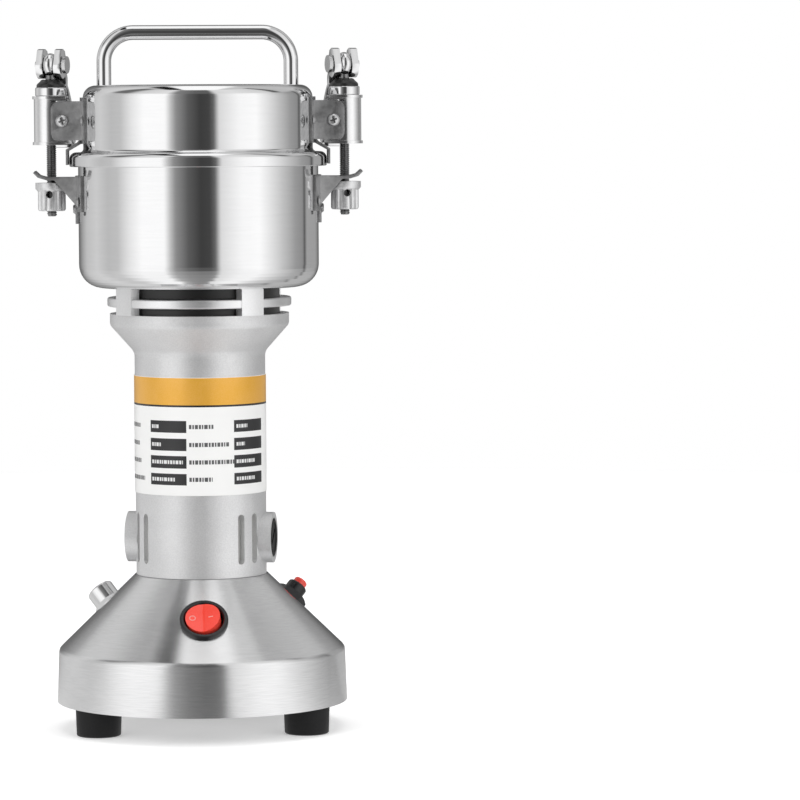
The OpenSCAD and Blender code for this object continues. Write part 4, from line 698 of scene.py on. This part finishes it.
screws = []
front_face, back_face = pivot_low[1] + HEAD_H, pivot_high[1] - HEAD_H
for way in (-1, 1):
    screws.append(pan_head("head", (way * PIVOT_X, front_face, PIVOT_Z), 0))
    screws.append(pan_head("head", (way * PIVOT_X, back_face, PIVOT_Z), math.pi))
    shank = primitive("cylinder", "shank", vertices=32, radius=PIVOT_R, depth=back_face - front_face,
                      location=(way * PIVOT_X, 0, PIVOT_Z), rotation=(math.pi / 2, 0, 0))
    freeze(shank)
    screws.append(shank)
deliver(join(screws, "pivot_screws"), screw_steel, stands_for=["latch_pivots"])

# Rocker marks. The switch's off side has a ring and its on side a bar, pad-printed in a pale pink on the two
# slopes of the rocker, which is tilted to its off side.
CONE_SLOPE, CONE_TOP_R, CONE_TOP_Z = math.radians(44.18), 27.6, 63.8
ROCKER_R, ROCKER_ANGLE, ROCKER_TILT = 43, math.radians(1), math.radians(8)
ROCKER_MID, ROCKER_PIN_Z = 1.9, -1
RING_AT, RING_R, RING_WIRE, RING_FLAT = -4.2, 1.15 * MM, 0.16 * MM, 0.3
BAR_AT, BAR_SIZE, BAR_EASE = 3.2, (1.9, 0.34, 0.1), 0.03


def on_cone(reach, angle):
    """The frame on the base's cone: X along the cone's rings, Y up its slope and Z out of it."""
    z = CONE_TOP_Z - (reach - CONE_TOP_R) * math.tan(CONE_SLOPE)
    return (Matrix.Rotation(angle, 4, "Z") @ Matrix.Translation(Vector((0, -reach, z)) * MM)
            @ Matrix.Rotation(CONE_SLOPE, 4, "X"))


rocker_pin = Matrix.Translation((0, 0, ROCKER_PIN_Z * MM))
tilted = (on_cone(ROCKER_R, ROCKER_ANGLE) @ rocker_pin @ Matrix.Rotation(-ROCKER_TILT, 4, "Y")
          @ rocker_pin.inverted())


def on_rocker(x):
    """The frame on one of the rocker's slopes, x mm from the ridge between them."""
    high = ROCKER_MID + abs(x) * math.tan(ROCKER_TILT)
    return (tilted @ Matrix.Translation(Vector((x, 0, high)) * MM)
            @ Matrix.Rotation(math.copysign(ROCKER_TILT, -x), 4, "Y"))


mark_ink = finish("mark_ink", (0.95, 0.5, 0.46), grit, 0.35, 0.05, 0.05, 0.0001, tint=0.03)
ring_mark = primitive("torus", "ring", major_segments=40, minor_segments=8, major_radius=RING_R,
                      minor_radius=RING_WIRE)
ring_mark.scale = (1, 1, RING_FLAT)
freeze(ring_mark, on_rocker(RING_AT))
bar_mark = primitive("cube", "bar", size=1)
bar_mark.scale = Vector(BAR_SIZE) * MM
freeze(bar_mark)
modify(bar_mark, "BEVEL", width=BAR_EASE * MM, segments=2)
freeze(bar_mark, on_rocker(BAR_AT))
deliver(join([ring_mark, bar_mark], "rocker_marks"), mark_ink, body="rocker")

# Cord tie. A flat black strap round the coil's winding holds its turns together behind the grinder.
TIE_W, TIE_T, TIE_BEND, TIE_AT = 9, 0.6, 3.0, math.radians(150)
tie_in, tie_out = COIL_R - COIL_PITCH * COIL_IN - CORD_R, COIL_R + CORD_R
tie_top = COIL_PITCH + 2 * CORD_R
strap = primitive("cube", "cord_tie", size=1)
strap.scale = ((tie_out - tie_in + 2 * TIE_T) * MM, TIE_W * MM, (tie_top + TIE_T) * MM)
freeze(strap)
choose(strap)
bpy.ops.object.mode_set(mode="EDIT")
bpy.ops.mesh.select_mode(type="FACE")
bpy.ops.mesh.select_all(action="DESELECT")
bpy.ops.object.mode_set(mode="OBJECT")
for face in strap.data.polygons:
    face.select = abs(face.normal.y) > 0.5
bpy.ops.object.mode_set(mode="EDIT")
bpy.ops.mesh.delete(type="ONLY_FACE")
bpy.ops.object.mode_set(mode="OBJECT")
modify(strap, "BEVEL", width=TIE_BEND * MM, segments=6, limit_method="ANGLE", angle_limit=math.radians(60))
modify(strap, "SOLIDIFY", thickness=TIE_T * MM, offset=-1)
middle = (tie_in + tie_out) / 2
freeze(strap, Matrix.Translation(Vector((*COIL_AT, 0)) * MM) @ Matrix.Rotation(TIE_AT, 4, "Z")
       @ Matrix.Translation(Vector((middle, 0, (tie_top + TIE_T) / 2)) * MM))
webbing = finish("tie_webbing", (0.02, 0.02, 0.022), grit, 0.7, 0.08, 0.5, 0.0003, tint=0.006,
                 fineness=2600.0)
deliver(strap, webbing)

# Label. A printed film round the front half of the column: a gold band above a white field with rows of
# black cells. The print is greeked: it holds bars and no words.
LABEL_R = 27.3 * MM
PRINT_T = 0.02 * MM
FACET = 3
BAND, BAND_LOW, BAND_HIGH, RULE_LOW = (-90, 85), 135.4, 146.5, 134.6
ROWS = [(124.1, 129.0), (116.7, 121.7), (109.5, 114.6), (102.6, 107.3)]
CELLS = ((-48.3, -12.3), (30.1, 66))
WORDS, WORD_GAP = (2.1, 1.4, 2.6, 1.8, 1.2, 3.0, 1.6), 0.8
VALUES, VALUE_HALF, VALUES_FROM = [(8, 12), (10, 9), (31, 22), (24, 22)], 0.75, (-46.5, 32.5)
CAPTIONS, CAPTION_HALF, CAPTIONS_FROM = [(24, 21), (22, 35), (25, 44), (31, 20)], 0.85, (-88, -9.9)


def printed(name, patches, surface_look, lift=0.0):
    """Prints patches, given by two angles and two heights in mm, as one skin wound round the label."""
    cells = []
    for start, end, low, high in patches:
        facets = max(int((end - start) / FACET), 1)
        cell = primitive("grid", "cell", x_subdivisions=facets, y_subdivisions=1, size=1,
                         rotation=(math.pi / 2, 0, 0))
        cell.location = (math.radians((start + end) / 2) * LABEL_R, 0, (low + high) / 2 * MM)
        cell.scale = (math.radians(end - start) * LABEL_R, (high - low) * MM, 1)
        cells.append(cell)
    skin = join(cells, name)
    freeze(skin)
    for corner in skin.data.vertices:
        angle = corner.co.x / LABEL_R
        reach = LABEL_R + lift
        corner.co = (reach * math.sin(angle), -reach * math.cos(angle), corner.co.z)
    modify(skin, "SOLIDIFY", thickness=PRINT_T, offset=1)
    return deliver(skin, surface_look)


film = finish("label_film", (0.93, 0.93, 0.92), grit, 0.3, 0.05, 0.05, 0.0001, tint=0.012)
black_ink = finish("black_ink", (0.02, 0.02, 0.021), grit, 0.3, 0.05, 0.05, 0.0001, tint=0.006)
grey_ink = finish("grey_ink", (0.1, 0.1, 0.102), grit, 0.35, 0.05, 0.05, 0.0001, tint=0.02)
white_ink = finish("white_ink", (0.8, 0.8, 0.8), grit, 0.35, 0.05, 0.05, 0.0001, tint=0.02)
gold_ink = finish("gold_ink", (0.84, 0.44, 0.07), grit, 0.3, 0.08, 0.08, 0.0001, tint=0.05, metallic=0.25)
dress(film, "housing_label")
printed("label_band", [(*BAND, BAND_LOW, BAND_HIGH)], gold_ink)
printed("label_rule", [(*BAND, RULE_LOW, BAND_LOW)], black_ink)
printed("label_cells", [(*cell, *row) for row in ROWS for cell in CELLS], black_ink)


def dashes(start, width, middle, half):
    """A line of greeked words: short blocks of uneven width along an arc of so many degrees."""
    line, at, i = [], start, 0
    while at < start + width:
        block = min(WORDS[i % len(WORDS)], start + width - at)
        line.append((at, at + block, middle - half, middle + half))
        at += block + WORD_GAP
        i += 1
    return line


values, captions = [], []
for (low, high), value, caption in zip(ROWS, VALUES, CAPTIONS):
    middle = (low + high) / 2
    for k in (0, 1):
        values += dashes(VALUES_FROM[k], value[k], middle, VALUE_HALF)
        captions += dashes(CAPTIONS_FROM[k], caption[k], middle, CAPTION_HALF)
printed("label_values", values, white_ink, lift=2 * PRINT_T)
printed("label_captions", captions, grey_ink)
